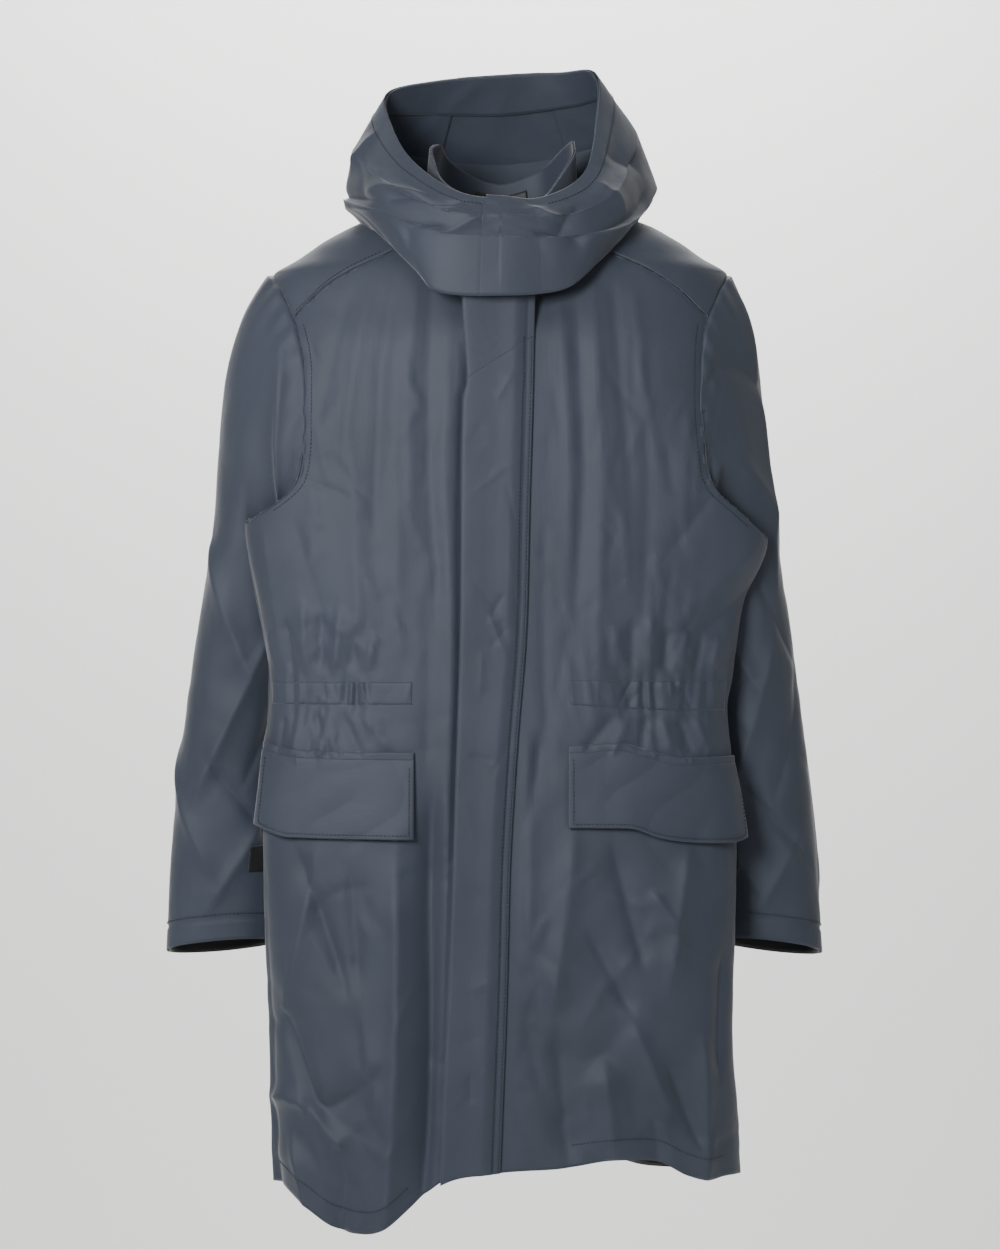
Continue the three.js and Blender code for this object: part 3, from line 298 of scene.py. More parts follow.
def grid_mesh(name, grids, material, thickness=0.0012, wrap=False, middle=(0.0, 0.0)):
    """A sheet of cloth from one or more grids of points (rows, columns, 3), facing away from middle
    (x, y), with a flat layout in metres for its weave."""
    co, faces, flat, first = [], [], [], 0
    for points in grids if isinstance(grids, list) else [grids]:
        rows, columns = points.shape[:2]
        index = np.arange(first, first + rows * columns).reshape(rows, columns)
        if wrap:
            index = np.concatenate([index, index[:, :1]], 1)
        quads = np.stack([index[:-1, :-1], index[1:, :-1], index[1:, 1:], index[:-1, 1:]], -1).reshape(-1, 4)
        across = np.linalg.norm(np.diff(points, axis=1, prepend=points[:, :1]), axis=-1).cumsum(1)
        down = np.linalg.norm(np.diff(points, axis=0, prepend=points[:1]), axis=-1).cumsum(0)
        co.append(points.reshape(-1, 3))
        faces.append(quads)
        flat.append(np.stack([across, down], -1).reshape(-1, 2))
        first += rows * columns
    quads, flat, co = np.concatenate(faces), np.concatenate(flat), np.concatenate(co)
    spread = np.cross(co[quads[:, 2]] - co[quads[:, 0]], co[quads[:, 3]] - co[quads[:, 1]])
    quads = quads[np.linalg.norm(spread, axis=1) > 1e-9]
    spread = np.cross(co[quads[:, 2]] - co[quads[:, 0]], co[quads[:, 3]] - co[quads[:, 1]])
    if (spread[:, :2] * (co[quads[:, 0], :2] - np.array(middle))).sum() < 0:
        quads = quads[:, ::-1]
    mesh = bpy.data.meshes.new(name)
    mesh.from_pydata(co.tolist(), [], quads.tolist())
    loops = np.empty(len(mesh.loops), np.int32)
    mesh.loops.foreach_get("vertex_index", loops)
    mesh.uv_layers.new(name="flat").data.foreach_set("uv", flat[loops].ravel().astype(np.float32))
    mesh.polygons.foreach_set("use_smooth", np.ones(len(mesh.polygons), bool))
    mesh.materials.append(material)
    piece = bpy.data.objects.new(name, mesh)
    bpy.context.scene.collection.objects.link(piece)
    if thickness:
        solid = piece.modifiers.new("thickness", "SOLIDIFY")
        solid.thickness = thickness
        solid.offset = -1.0
        solid.use_even_offset = False
    return piece


def new_material(name):
    material = bpy.data.materials.new(name)
    material.use_nodes = True
    tree = material.node_tree
    return material, tree, tree.nodes["Principled BSDF"]


def cloth_material(name, colour, rough=0.62, sheen=0.25, weave=0.35, spread=0.10):
    """Woven cloth: fine crossed threads from its own layout, and slow changes of tone over the piece."""
    material, tree, shader = new_material(name)
    nodes, link = tree.nodes, tree.links.new
    shader.inputs["Roughness"].default_value = rough
    shader.inputs["Sheen Weight"].default_value = sheen
    shader.inputs["Sheen Roughness"].default_value = 0.45
    shader.inputs["Specular IOR Level"].default_value = 0.42
    place = nodes.new("ShaderNodeTexCoord")
    tone = nodes.new("ShaderNodeTexNoise")
    tone.inputs["Scale"].default_value = 9.0
    tone.inputs["Detail"].default_value = 6.0
    link(place.outputs["Object"], tone.inputs["Vector"])
    ramp = nodes.new("ShaderNodeValToRGB")
    ramp.color_ramp.elements[0].position = 0.3
    ramp.color_ramp.elements[1].position = 0.7
    ramp.color_ramp.elements[0].color = [c * (1 - spread) for c in colour] + [1]
    ramp.color_ramp.elements[1].color = [c * (1 + spread) for c in colour] + [1]
    link(tone.outputs["Fac"], ramp.inputs["Fac"])
    link(ramp.outputs["Color"], shader.inputs["Base Color"])
    layout = nodes.new("ShaderNodeUVMap")
    layout.uv_map = "flat"
    height = None
    for direction in ("X", "Y"):
        wave = nodes.new("ShaderNodeTexWave")
        wave.bands_direction = direction
        wave.inputs["Scale"].default_value = 260.0
        wave.inputs["Distortion"].default_value = 0.6
        link(layout.outputs["UV"], wave.inputs["Vector"])
        if height is None:
            height = wave.outputs["Fac"]
        else:
            join = nodes.new("ShaderNodeMath")
            join.operation = "ADD"
            link(height, join.inputs[0])
            link(wave.outputs["Fac"], join.inputs[1])
            height = join.outputs[0]
    uneven = nodes.new("ShaderNodeTexNoise")
    uneven.inputs["Scale"].default_value = 70.0
    uneven.inputs["Detail"].default_value = 5.0
    link(place.outputs["Object"], uneven.inputs["Vector"])
    fine = nodes.new("ShaderNodeBump")
    fine.inputs["Strength"].default_value = weave
    fine.inputs["Distance"].default_value = 0.00012
    link(height, fine.inputs["Height"])
    coarse = nodes.new("ShaderNodeBump")
    coarse.inputs["Strength"].default_value = 0.35
    coarse.inputs["Distance"].default_value = 0.0012
    link(uneven.outputs["Fac"], coarse.inputs["Height"])
    link(fine.outputs["Normal"], coarse.inputs["Normal"])
    link(coarse.outputs["Normal"], shader.inputs["Normal"])
    return material


SHELL = cloth_material("slate cloth", (0.0315, 0.0405, 0.061))


# --- Front panels ----------------------------------------------------------------------------------
# Two panels from the shoulder seam to the hem, meeting at the zip. Each runs from its armhole, and lower
# down from its side seam behind the arm, to the middle of the coat.

ARMHOLE_LEFT = [(0.04, 0.2296), (0.055, 0.2215), (0.091, 0.207), (0.13, 0.2025), (0.171, 0.2021),
                (0.211, 0.2041), (0.261, 0.2155), (0.283, 0.240), (0.309, 0.2702)]
ARMHOLE_RIGHT = [(0.04, 0.2296), (0.055, 0.2215), (0.083, 0.209), (0.12, 0.199), (0.141, 0.1962),
                 (0.2, 0.1962), (0.251, 0.2021), (0.277, 0.228), (0.294, 0.2571)]
UNDERARM = {1: 0.309, -1: 0.294}
SIDE_SEAM = 0.60 * np.pi
SHOULDER_SEAM = [(0.0, 0.06), (0.02, 0.1035), (0.046, 0.158), (0.0875, 0.208)]


def hung(nodes):
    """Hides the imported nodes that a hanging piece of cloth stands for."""
    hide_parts(*nodes)


def levels(top, bottom, step):
    return np.linspace(top, bottom, int(round((bottom - top) / step)) + 1)


def armhole(drop, side):
    return curve(ARMHOLE_LEFT if side > 0 else ARMHOLE_RIGHT, drop)


def seam_edge(drop, side):
    """Angle of a front panel's outer edge: shoulder seam, then armhole, then the side seam past the side."""
    tip = SHOULDER_SEAM[-1][0]
    x = np.where(drop < tip, curve(SHOULDER_SEAM, drop), armhole(np.maximum(drop, tip), side))
    edge = np.abs(front_angle(side * x, drop))
    return np.where(drop < UNDERARM[side] - 0.0005, edge, SIDE_SEAM)


def rows_to_hem(top, side, step=0.0034):
    """Drops of a panel's rows, closer together round the underarm, where the edge turns."""
    under = UNDERARM[side]
    near, past = under - 0.045, under + 0.005
    return np.concatenate([levels(top, near, step)[:-1], levels(near, past, 0.0016)[:-1],
                           levels(past, 0.94, step)])[:, None]


def front_panel(side):
    """Grid from the middle out to the side seam; columns past the shoulder seam or armhole stop there."""
    top, from_zip = 0.006, 0.0056
    drop = rows_to_hem(top, side)
    u = np.linspace(0, 1, 118)[None]
    outer = seam_edge(drop, side)
    inner_angle = side * front_angle(curve(ZIP_LINE, drop) + side * from_zip, drop)
    angle = np.minimum(inner_angle + (SIDE_SEAM - inner_angle) * u, outer)
    points = coat(side * angle, drop + 0 * u)
    rim = np.minimum(outer - angle, angle - inner_angle) * 0.2
    points = points - outward(points) * (np.exp(-rim / 0.0022) * 0.0012)[..., None]
    points[..., 2] -= 0.055 * ease(1 - np.abs(points[..., 0]) / 0.095) * ease(1 - (drop - top) / 0.1)
    return points


for side, word in ((-1, "right"), (1, "left")):
    panel = grid_mesh(f"{word}_front", front_panel(side), SHELL)
    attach(panel, "root")
    hung([f"{word}_front_panel"])


# --- Yoke, back and sides --------------------------------------------------------------------------
# The yoke covers the back of the shoulders and comes over them to the front seams. The back panel hangs
# from it, with a lining of black cloth inside.

BLACK = cloth_material("black lining", (0.010, 0.011, 0.013), rough=0.5, sheen=0.1)
ARMHOLE_BACK = [(0.04, 0.2296), (0.055, 0.2215), (0.1, 0.207), (0.17, 0.203), (0.25, 0.214), (0.28, 0.24),
                (0.294, 0.2571)]


def back_angle(x, drop):
    """The angle of the back point at x, as front_angle but past the side."""
    side = np.where(x < 0, -1, 1)
    n = curve(BACK_ROUNDNESS, drop)
    q = np.clip(np.abs(x) / half_width(drop, side), 0, 1)
    return side * (np.pi - np.arctan2(q, (1 - q**n) ** (1 / n)))


def wing(side):
    """The yoke in front of the shoulder: from the front seam out to the shoulder ridge or armhole."""
    drop = levels(-0.0285, 0.0870, 0.002)[:, None]
    ridge = np.where(drop < 0.04, np.pi / 2, np.abs(front_angle(armhole(np.maximum(drop, 0.04), side), drop)))
    u = np.linspace(0, 1, 40)[None]
    seam = seam_edge(drop, side)
    past = (1 - u) * np.abs(ridge - seam) * 0.2 + 0.006 * (1 - ease((drop - 0.03) / 0.01))
    return coat(side * (seam + (ridge - seam) * u), drop + 0 * u, 0.0012 - 0.0016 * np.exp(-past / 0.002))


def back_armhole(drop, side):
    """Half width of the back at its armhole, the same shape on both sides, fitted to each underarm."""
    under = UNDERARM[side]
    share = 0.04 + (np.maximum(drop, 0.04) - 0.04) * (UNDERARM[-1] - 0.04) / (under - 0.04)
    x = curve(ARMHOLE_BACK, share) * half_width(under, side) / half_width(UNDERARM[-1], -1)
    return np.where(drop > under - 0.001, half_width(under, side), np.minimum(x, half_width(drop, side)))


def across_back(top, bottom, step=0.0036, lift=0.0):
    """The back between the armholes, and between the side seams lower down."""
    drop = levels(top, bottom, step)[:, None]
    u = np.linspace(0, 1, 172)[None]
    side = np.where(u < 0.5, -1, 1)
    x = np.where(side < 0, back_armhole(drop, -1), back_armhole(drop, 1))
    limit = np.where(drop < 0.04, np.pi / 2, np.abs(back_angle(side * x, drop)))
    under = np.where(side < 0, UNDERARM[-1], UNDERARM[1])
    limit = np.where(drop < under - 0.0005, limit, SIDE_SEAM)
    angle = np.pi - np.pi / 2 * np.abs(2 * u - 1)
    return coat(side * np.maximum(angle, limit), drop + 0 * u, lift)


yoke = grid_mesh("yoke", [across_back(-0.0285, 0.153, 0.002, 0.0012), wing(-1), wing(1)], SHELL)
back = grid_mesh("back", across_back(0.150, 0.94), SHELL)
lining = grid_mesh("lining", across_back(0.0, 0.60, 0.008, -0.004), BLACK, thickness=0.0006)
for piece, node, finish, flat, area in ((yoke, "back_yoke", "shell_cloth", (0.52, 0.27), 0.085),
                                        (back, "back_panel", "shell_cloth", (0.60, 0.82), 0.44),
                                        (lining, "back_lining", "black_lining", (0.56, 0.62), 0.30)):
    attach(piece, "root")
    hung([node])

# --- Sleeves ---------------------------------------------------------------------------------------
# Each sleeve is one tube from the armhole to the cuff. It hangs flat beside and a little behind the coat,
# outer line long and smooth, with deep folds where it doubles at the armhole.
# Sections: drop, centre from the middle, centre depth, half width, half depth.

WEBBING = cloth_material("black webbing", (0.006, 0.0065, 0.008), rough=0.7, sheen=0.1, weave=0.8)
SLEEVE_LEFT = [(0.31, 0.243, 0.020, 0.041, 0.058), (0.40, 0.252, 0.030, 0.047, 0.056),
               (0.51, 0.263, 0.034, 0.051, 0.050), (0.62, 0.272, 0.034, 0.053, 0.042),
               (0.726, 0.279, 0.032, 0.0535, 0.034)]
SLEEVE_RIGHT = [(0.31, 0.253, 0.020, 0.042, 0.058), (0.40, 0.264, 0.030, 0.047, 0.056),
                (0.51, 0.276, 0.034, 0.051, 0.050), (0.62, 0.285, 0.034, 0.0535, 0.042),
                (0.726, 0.2885, 0.032, 0.0555, 0.034)]
SLEEVE_FOLDS = [
    (0.05, 0.02, 0.16, 0.20, 0.012, 0.006), (0.10, 0.00, 0.20, 0.15, 0.010, -0.006),
    (0.16, -0.02, 0.13, 0.25, 0.010, 0.005), (0.02, 0.20, 0.10, 0.38, 0.014, 0.005),
    (0.07, 0.16, 0.15, 0.34, 0.012, -0.005), (0.12, 0.30, 0.05, 0.52, 0.012, 0.005),
    (0.16, 0.33, 0.10, 0.50, 0.012, -0.004), (0.00, 0.45, 0.08, 0.62, 0.012, 0.004),
    (0.06, 0.47, 0.14, 0.58, 0.010, -0.004), (0.13, 0.53, 0.07, 0.66, 0.011, 0.004),
    (-0.02, 0.10, -0.03, 0.40, 0.012, 0.004), (-0.06, 0.30, -0.02, 0.55, 0.012, -0.004),
    (0.19, 0.40, 0.17, 0.62, 0.010, 0.004), (0.24, 0.20, 0.26, 0.50, 0.012, 0.004),
    (0.28, 0.10, 0.24, 0.40, 0.012, -0.004),
]


def armhole_loop(turn, side):
    """The armhole as a loop: turn 0 at the shoulder, 1/4 in front, 1/2 under the arm, 3/4 behind."""
    under = UNDERARM[side]
    drop = 0.04 + (under - 0.04) * (1 - np.cos(2 * np.pi * turn)) / 2
    front = turn <= 0.5
    x = np.where(front, armhole(drop, side), back_armhole(drop, side))
    angle = np.where(front, np.abs(front_angle(side * x, drop)), np.abs(back_angle(side * x, drop)))
    return on_body(side * angle, drop)


def sleeve(side, columns=150, lift=0.0):
    """Cubic (Hermite) from the armhole loop to level rounded sections, then down them to the cuff."""
    knots = SLEEVE_LEFT if side > 0 else SLEEVE_RIGHT
    turn = np.arange(columns)[None] / columns
    run = np.linspace(0, 1, 150)[:, None]
    loop = armhole_loop(turn, side)[0][None]
    tuck = 1 - np.maximum(np.cos(2 * np.pi * turn), 0)[..., None]
    loop = loop * np.array([1, 0.97, 1]) - np.array([side * 0.004, 0, 0]) * tuck
    loop = loop + np.array([0, 0, 0.001]) * (1 - tuck)
    join = 0.30

    def section(drop):
        cx, cy, w, d = np.moveaxis(curve(knots, drop), -1, 0)
        c, s = np.cos(2 * np.pi * turn), np.sin(2 * np.pi * turn)
        far = (np.abs(c) ** 2.3 + np.abs(s) ** 2.3) ** (1 / 2.3)
        return np.stack([side * (cx + w * c / far), cy - d * s / far, -drop + 0 * s], -1)

    first = section(np.full((1, 1), 0.31))
    span = np.linalg.norm(first - loop, axis=-1, keepdims=True)
    c = np.cos(2 * np.pi * turn)[..., None]
    reach = 0.36 if side > 0 else 0.6
    away = np.array([side, 0, 0]) * (reach + 0.1 * c) + np.array([0, 0, -1]) * (0.4 + 0.2 * c)
    away = away + np.array([0, -0.15, 0]) * np.sin(2 * np.pi * turn)[..., None]
    s = np.clip(run / join, 0, 1)[..., None]
    upper = (loop * (2 * s**3 - 3 * s**2 + 1) + away * span * (s**3 - 2 * s**2 + s)
             + first * (3 * s**2 - 2 * s**3) + np.array([side * 0.12, 0, -0.99]) * span * (s**3 - s**2))
    lower = section(0.31 + (0.726 - 0.31) * np.clip((run - join) / (1 - join), 0, 1))
    points = np.where(run[..., None] < join, upper, lower)
    normal = np.cross(np.roll(points, -1, 1) - np.roll(points, 1, 1), np.gradient(points, axis=0))
    normal = normal / np.maximum(np.linalg.norm(normal, axis=-1, keepdims=True), 1e-9) * side
    around = (((turn + 0.25) % 1) - 0.25) * 0.32 + 0 * run
    lines = [f if side < 0 else (0.17 - f[0], f[1] + 0.02, 0.17 - f[2], f[3] + 0.02, *f[4:])
             for f in SLEEVE_FOLDS]
    push = ((1.3 if side < 0 else 0.9) * creases(around, run * 0.70, lines)
            + rumple(around + side, run * 0.7, 0.7))
    push = push * ease(run / 0.05) * (1 - 0.6 * ease((run - 0.9) / 0.1))
    near = np.exp(-run * 0.70 / 0.022) * ease(run / 0.006)
    push = push + near * (0.004 + 0.0016 * np.sin(turn * 2 * np.pi * 26 + np.sin(turn * 40)))
    push = push - 0.0012 * np.exp(-(((run * 0.70 - 0.672) / 0.0016) ** 2))
    points = points + normal * (push + lift)[..., None]
    points[..., 2] += ease((run - 0.8) / 0.2) * 0.009 * np.sin(2 * np.pi * turn)
    front_dip = 0.005 * ease((run - 0.6) / 0.4) * np.cos(2 * np.pi * turn)
    points[..., 2] -= front_dip * (1 if side < 0 else 1.3)
    return points


for side, word in ((-1, "right"), (1, "left")):
    axis = (side * 0.275, 0.03)
    tube = grid_mesh(f"{word}_sleeve_cloth", sleeve(side), SHELL, wrap=True, middle=axis)
    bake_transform(tube)
    hung([f"{word}_sleeve"])
    cuff = grid_mesh(f"{word}_cuff_lining", sleeve(side, lift=-0.003)[-20:], BLACK, thickness=0.0006,
                     wrap=True, middle=axis)
    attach(cuff, f"{word}_sleeve")
    hung([f"{word}_cuff_facing"])
    tab = grid_mesh(f"{word}_cuff_strap", sleeve(side, 160, 0.0022)[123:131, 54:100], WEBBING,
                    thickness=0.0016, middle=axis)
    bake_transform(tab)
    hung([f"{word}_cuff_tab"])

# --- Hood ------------------------------------------------------------------------------------------
# The hood lies open round the neck like a wide cowl: rim up and forward, the cloth falling outwards and
# tucking in again under its fold. Two sides and a narrow middle panel. Each loop starts in front and goes
# round by the wearer's right.

HOOD_RIM = [(0, -0.117, 0.0233), (-0.042, -0.112, 0.031), (-0.085, -0.083, 0.064), (-0.110, -0.040, 0.108),
            (-0.1155, 0.000, 0.148), (-0.068, 0.030, 0.166), (0.000, 0.040, 0.174), (0.060, 0.036, 0.176),
            (0.098, 0.008, 0.170), (0.0985, -0.030, 0.118), (0.084, -0.076, 0.056), (0.045, -0.106, 0.027)]
HOOD_FULL = [(0.0, -0.124, -0.015), (-0.058, -0.120, -0.010), (-0.112, -0.092, 0.012),
             (-0.150, -0.040, 0.030), (-0.158, 0.005, 0.038), (-0.118, 0.080, 0.022), (0.0, 0.112, 0.002),
             (0.118, 0.088, 0.028), (0.160, 0.030, 0.058), (0.147, -0.040, 0.022), (0.116, -0.090, -0.002),
             (0.062, -0.118, -0.015)]
HOOD_HEM = [(0.0, -0.121, -0.073), (-0.060, -0.117, -0.069), (-0.084, -0.098, -0.045),
            (-0.122, -0.060, -0.004), (-0.138, 0.000, 0.008), (-0.100, 0.064, -0.008), (0.0, 0.084, -0.022),
            (0.100, 0.066, -0.006), (0.138, 0.010, 0.014), (0.124, -0.050, -0.006), (0.096, -0.092, -0.038),
            (0.062, -0.112, -0.066)]
HOOD_FOLDS = [
    (0.15, 0.150, 0.27, 0.172, 0.010, -0.007), (0.14, 0.180, 0.26, 0.205, 0.012, 0.004),
    (0.09, 0.05, 0.17, 0.15, 0.016, 0.005), (0.05, 0.03, 0.13, 0.14, 0.012, -0.004),
    (0.21, 0.03, 0.22, 0.13, 0.016, 0.005), (0.61, 0.03, 0.57, 0.13, 0.016, -0.005),
    (0.65, 0.03, 0.63, 0.15, 0.016, 0.005), (0.57, 0.150, 0.67, 0.170, 0.014, -0.004),
    (0.60, 0.18, 0.70, 0.195, 0.012, 0.003), (0.69, 0.06, 0.72, 0.17, 0.015, -0.005),
    (0.74, 0.03, 0.71, 0.13, 0.013, 0.004), (0.06, 0.15, 0.12, 0.21, 0.010, -0.004),
    (0.745, 0.15, 0.69, 0.20, 0.011, -0.004), (0.02, 0.10, 0.07, 0.19, 0.012, 0.003),
]


def closed_line(knots, t):
    """Smooth closed line through knots spread evenly over one turn of t."""
    knots = np.array(knots)
    at = np.arange(-3, len(knots) + 4) / len(knots)
    return curve(np.column_stack([at, np.concatenate([knots[-3:], knots, knots[:4]])]), t, steady=False)


def hood(t0, t1, columns, rows=70, lift=0.0, v0=0.0, v1=1.0):
    """Grid on the hood: four loops, each a smooth closed curve in t, joined by a smooth curve in v."""
    t = np.linspace(t0, t1, columns)
    v = np.linspace(v0, v1, rows)
    rim, full, hem = np.array(HOOD_RIM), np.array(HOOD_FULL), np.array(HOOD_HEM)
    upper = (rim + full) / 2
    outside = upper - np.array([0.0, 0.0, 0.07])
    upper = upper + np.array([1, 1, 0]) * outside / np.linalg.norm(outside, axis=1, keepdims=True) * 0.010
    loops = np.array([closed_line(ring, t) for ring in (rim, upper, full, hem)])
    weights = curve(np.column_stack([[0, 0.42, 0.78, 1.0], np.eye(4)]), v)
    points = np.einsum("vk,ktc->vtc", weights, loops)
    n = outward(points)
    push = creases((t % 1)[None] * 0.78, v[:, None] * 0.23, HOOD_FOLDS)
    push = push + rumple((t % 1)[None] * 0.78 + 3, v[:, None] * 0.23, 0.6)
    return points + n * (push * ease(v / 0.08)[:, None] + lift)[..., None]


RIGHT_SEAM, LEFT_SEAM, SEAM_LAP = 0.452, 0.556, 0.004
for name, node, t0, t1, columns, lift, flat, area in (
        ("hood_right", "hood_left_side", 0.0, RIGHT_SEAM, 200, 0.0, (0.30, 0.24), 0.05),
        ("hood_middle", "hood_centre_panel", RIGHT_SEAM - SEAM_LAP, LEFT_SEAM + SEAM_LAP, 50, 0.0012,
         (0.11, 0.28), 0.03),
        ("hood_left", "hood_right_side", LEFT_SEAM, 1.0, 200, 0.0, (0.30, 0.24), 0.05)):
    piece = grid_mesh(name, hood(t0, t1, columns, lift=lift), SHELL)
    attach(piece, "hood")
    hung([node])
facing = grid_mesh("hood_edge_facing", hood(0.03, 0.97, 260, 14, lift=-0.0026, v1=0.15), SHELL,
                   thickness=0.0008)
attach(facing, "hood")
hung(["hood_facing"])
tape = grid_mesh("hood_tape", hood(0.03, 0.97, 200, 8, lift=-0.004, v0=0.95), BLACK, thickness=0.0006)
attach(tape, "hood")
hung(["hood_zip_tape"])
throat_lift = -0.0006 + 0.0046 * ease(np.linspace(0, 1, 60) / 0.7)[None]
throat = grid_mesh("throat_overlap", hood(0.9335, 1.026, 60, lift=throat_lift), SHELL, thickness=0.0018)
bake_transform(throat)
hung(["throat_flap"])

# --- Collar ----------------------------------------------------------------------------------------
# A soft stand collar inside the hood. With the zip pulled up it stands round the neck, its front corners
# falling open, lined in the same cloth.

COLLAR_FOOT = [(0, -0.100, -0.045), (-0.050, -0.088, -0.025), (-0.075, -0.050, 0.000),
               (-0.080, 0.000, 0.010), (-0.056, 0.042, 0.006), (0, 0.056, 0.002), (0.056, 0.042, 0.006),
               (0.080, 0.000, 0.010), (0.075, -0.050, 0.000), (0.050, -0.088, -0.025)]
COLLAR_TOP = [(0, -0.104, 0.022), (-0.045, -0.094, 0.036), (-0.071, -0.060, 0.074), (-0.068, -0.012, 0.094),
              (-0.046, 0.034, 0.078), (0, 0.048, 0.062), (0.046, 0.035, 0.078), (0.072, -0.012, 0.096),
              (0.078, -0.060, 0.076), (0.048, -0.094, 0.030)]


def collar(lift, rows=24, columns=150, t=(0.005, 0.995), v=(0, 1)):
    """Grid on the collar, straight from its top loop (v 0) to its foot (v 1), with a slow wave at the top."""
    t = np.linspace(*t, columns)
    v = np.linspace(*v, rows)[:, None, None]
    foot, top = closed_line(COLLAR_FOOT, t)[None], closed_line(COLLAR_TOP, t)[None]
    points = top + (foot - top) * v
    n = outward(points)
    wave = 0.003 * np.sin(t * 38) * np.cos(t * 17 + 1) + 0.004 * np.sin(t * 12.6 + 0.8)
    return points + n * (wave[None] * (1 - v[..., 0]) + lift)[..., None]


for name, node, lift, thickness in (("collar", "stand_collar", 0.0, 0.0012),
                                    ("collar_inside", "collar_lining", -0.0022, 0.0006)):
    piece = grid_mesh(name, collar(lift), SHELL, thickness=thickness)
    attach(piece, "root")
    hung([node])

# --- Hanging loop and neck label --------------------------------------------------------------------
# A short strap sewn down at both ends inside the back of the neck, standing off in the middle for the
# peg, and above it a plain woven label.

bow = np.sin(np.linspace(0, np.pi, 40))[None] ** 0.5
strap = collar(-0.0036 - 0.0065 * bow, 6, 40, (0.425, 0.575), (0.667, 0.80))
strap[..., 2] -= 0.009 * np.abs(np.linspace(-1, 1, 40)) ** 6
loop = grid_mesh("hanging_strap", strap, WEBBING)
label = grid_mesh("label", collar(-0.0034, 8, 30, (0.445, 0.555), (0.20, 0.50)), BLACK, thickness=0.0006)
for piece, node, finish, flat in ((loop, "hang_loop", "black_webbing", (0.072, 0.010)),
                                  (label, "neck_label", "label_cloth", (0.053, 0.018))):
    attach(piece, "root")
    hung([node])

# --- Storm fly and throat guard --------------------------------------------------------------------
# A double strip of cloth that covers the zip. It is sewn down along the wearer's left and closed by hidden
# snaps. Above the slanted top edge a fixed piece carries on up under the hood.

FLY_RIGHT = [(0.0, 0.0375), (0.0847, 0.0345), (0.1733, 0.0325), (0.272, 0.0296), (0.41, 0.0256),
             (0.508, 0.0177), (0.617, 0.0109), (0.764, 0.0069), (0.95, 0.000)]
FLY_FOLDS = scattered(38, (-0.05, 0.02, -0.92, -0.12), (0.02, 0.06), 1.1, (0.004, 0.008), (0.0005, 0.0013))


def fly(top_left, top_right, bottom, columns, rows, lift):
    """Grid over the fly's strip from a slanted top edge down to bottom."""
    u = np.linspace(0, 1, columns)[None]
    v = np.linspace(0, 1, rows)[:, None]
    top = top_left + (top_right - top_left) * u
    drop = top + (bottom - top) * v
    left, right = curve(FLY_LEFT, drop), curve(FLY_RIGHT, drop)
    x = left + (right - left) * u
    points = on_body(front_angle(x, drop), drop)
    points[..., 1] = np.minimum(points[..., 1], -FRONT_FACE[-1][1])
    free = (1 - u) * (right - left)
    stand = 0.0026 + 0.0056 * ease(free / 0.021) + 0.0030 * ease((free - 0.03) / 0.04)
    stand = stand + 0.0010 * np.sin(drop * 23) * (1 - u)
    push = creases(x, -drop, FLY_FOLDS) * np.sin(np.pi * u)
    edge = np.exp(-u * 0.07 / 0.0016) * 0.0012
    seam = np.exp(-((free - 0.007) / 0.0011) ** 2) * 0.0009
    points[..., 1] -= stand + push - edge - seam + lift
    points[..., 2] -= hem_fall(x, drop)
    return points


strip = grid_mesh("fly", fly(0.1516, 0.1093, 0.94, 48, 330, 0.0), SHELL, thickness=0.0022)
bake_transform(strip)
hung(["storm_fly"])
guard = grid_mesh("guard", fly(0.012, 0.012, 0.156, 48, 60, -0.0006), SHELL, thickness=0.0022)
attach(guard, "root")
hung(["throat_guard"])

# --- Waist tunnels, pocket flaps and welts ---------------------------------------------------------
# Strips of cloth sewn on in front: at the waist over an elastic, and at each pocket a narrow welt with a
# wide flap hanging over the opening.

def front_strip(ends, top, bottom, columns, rows, lift):
    """Grid on the front between two x, with its top and bottom drops as curves of x."""
    x = np.linspace(ends[0], ends[1], columns)[None]
    v = np.linspace(0, 1, rows)[:, None]
    high, low = curve(top, x), curve(bottom, x)
    drop = high + (low - high) * v
    limit = half_width(drop, np.sign(x)) * 0.992
    x = np.sign(x) * np.minimum(np.abs(x) + 0 * drop, limit)
    edge = np.minimum(np.minimum(v, 1 - v) * 0.02, (np.minimum(np.abs(x - ends[0]), np.abs(x - ends[1]))))
    roll = np.exp(-edge / 0.0014) * 0.0006
    stand = lift(x, v) if callable(lift) else lift
    return coat(front_angle(x, drop), drop, stand - roll)


for word, ends, top, bottom in (
        ("right", (-0.229, -0.0867), [(-0.23, 0.452), (-0.087, 0.4511)], [(-0.23, 0.474), (-0.087, 0.4738)]),
        ("left", (0.069, 0.226), [(0.068, 0.4492), (0.227, 0.451)],
         [(0.068, 0.4738), (0.15, 0.479), (0.227, 0.4807)])):
    tunnel = grid_mesh(f"{word}_waist_tunnel", front_strip(ends, top, bottom, 130, 14, 0.0006), SHELL)
    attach(tunnel, "root")
    hung([f"{word}_waist_channel", f"{word}_waist_elastic"])

POCKETS = (
    (-1, "right", (-0.236, -0.0845), [(-0.236, 0.5195), (-0.199, 0.5262), (-0.084, 0.528)],
     [(-0.236, 0.594), (-0.206, 0.6055), (-0.084, 0.6068)]),
    (1, "left", (0.067, 0.240),
     [(0.066, 0.5211), (0.12, 0.5190), (0.14, 0.524), (0.18, 0.534), (0.24, 0.533)],
     [(0.066, 0.5950), (0.125, 0.5955), (0.158, 0.606), (0.19, 0.6105), (0.225, 0.6117), (0.24, 0.607)]),
)


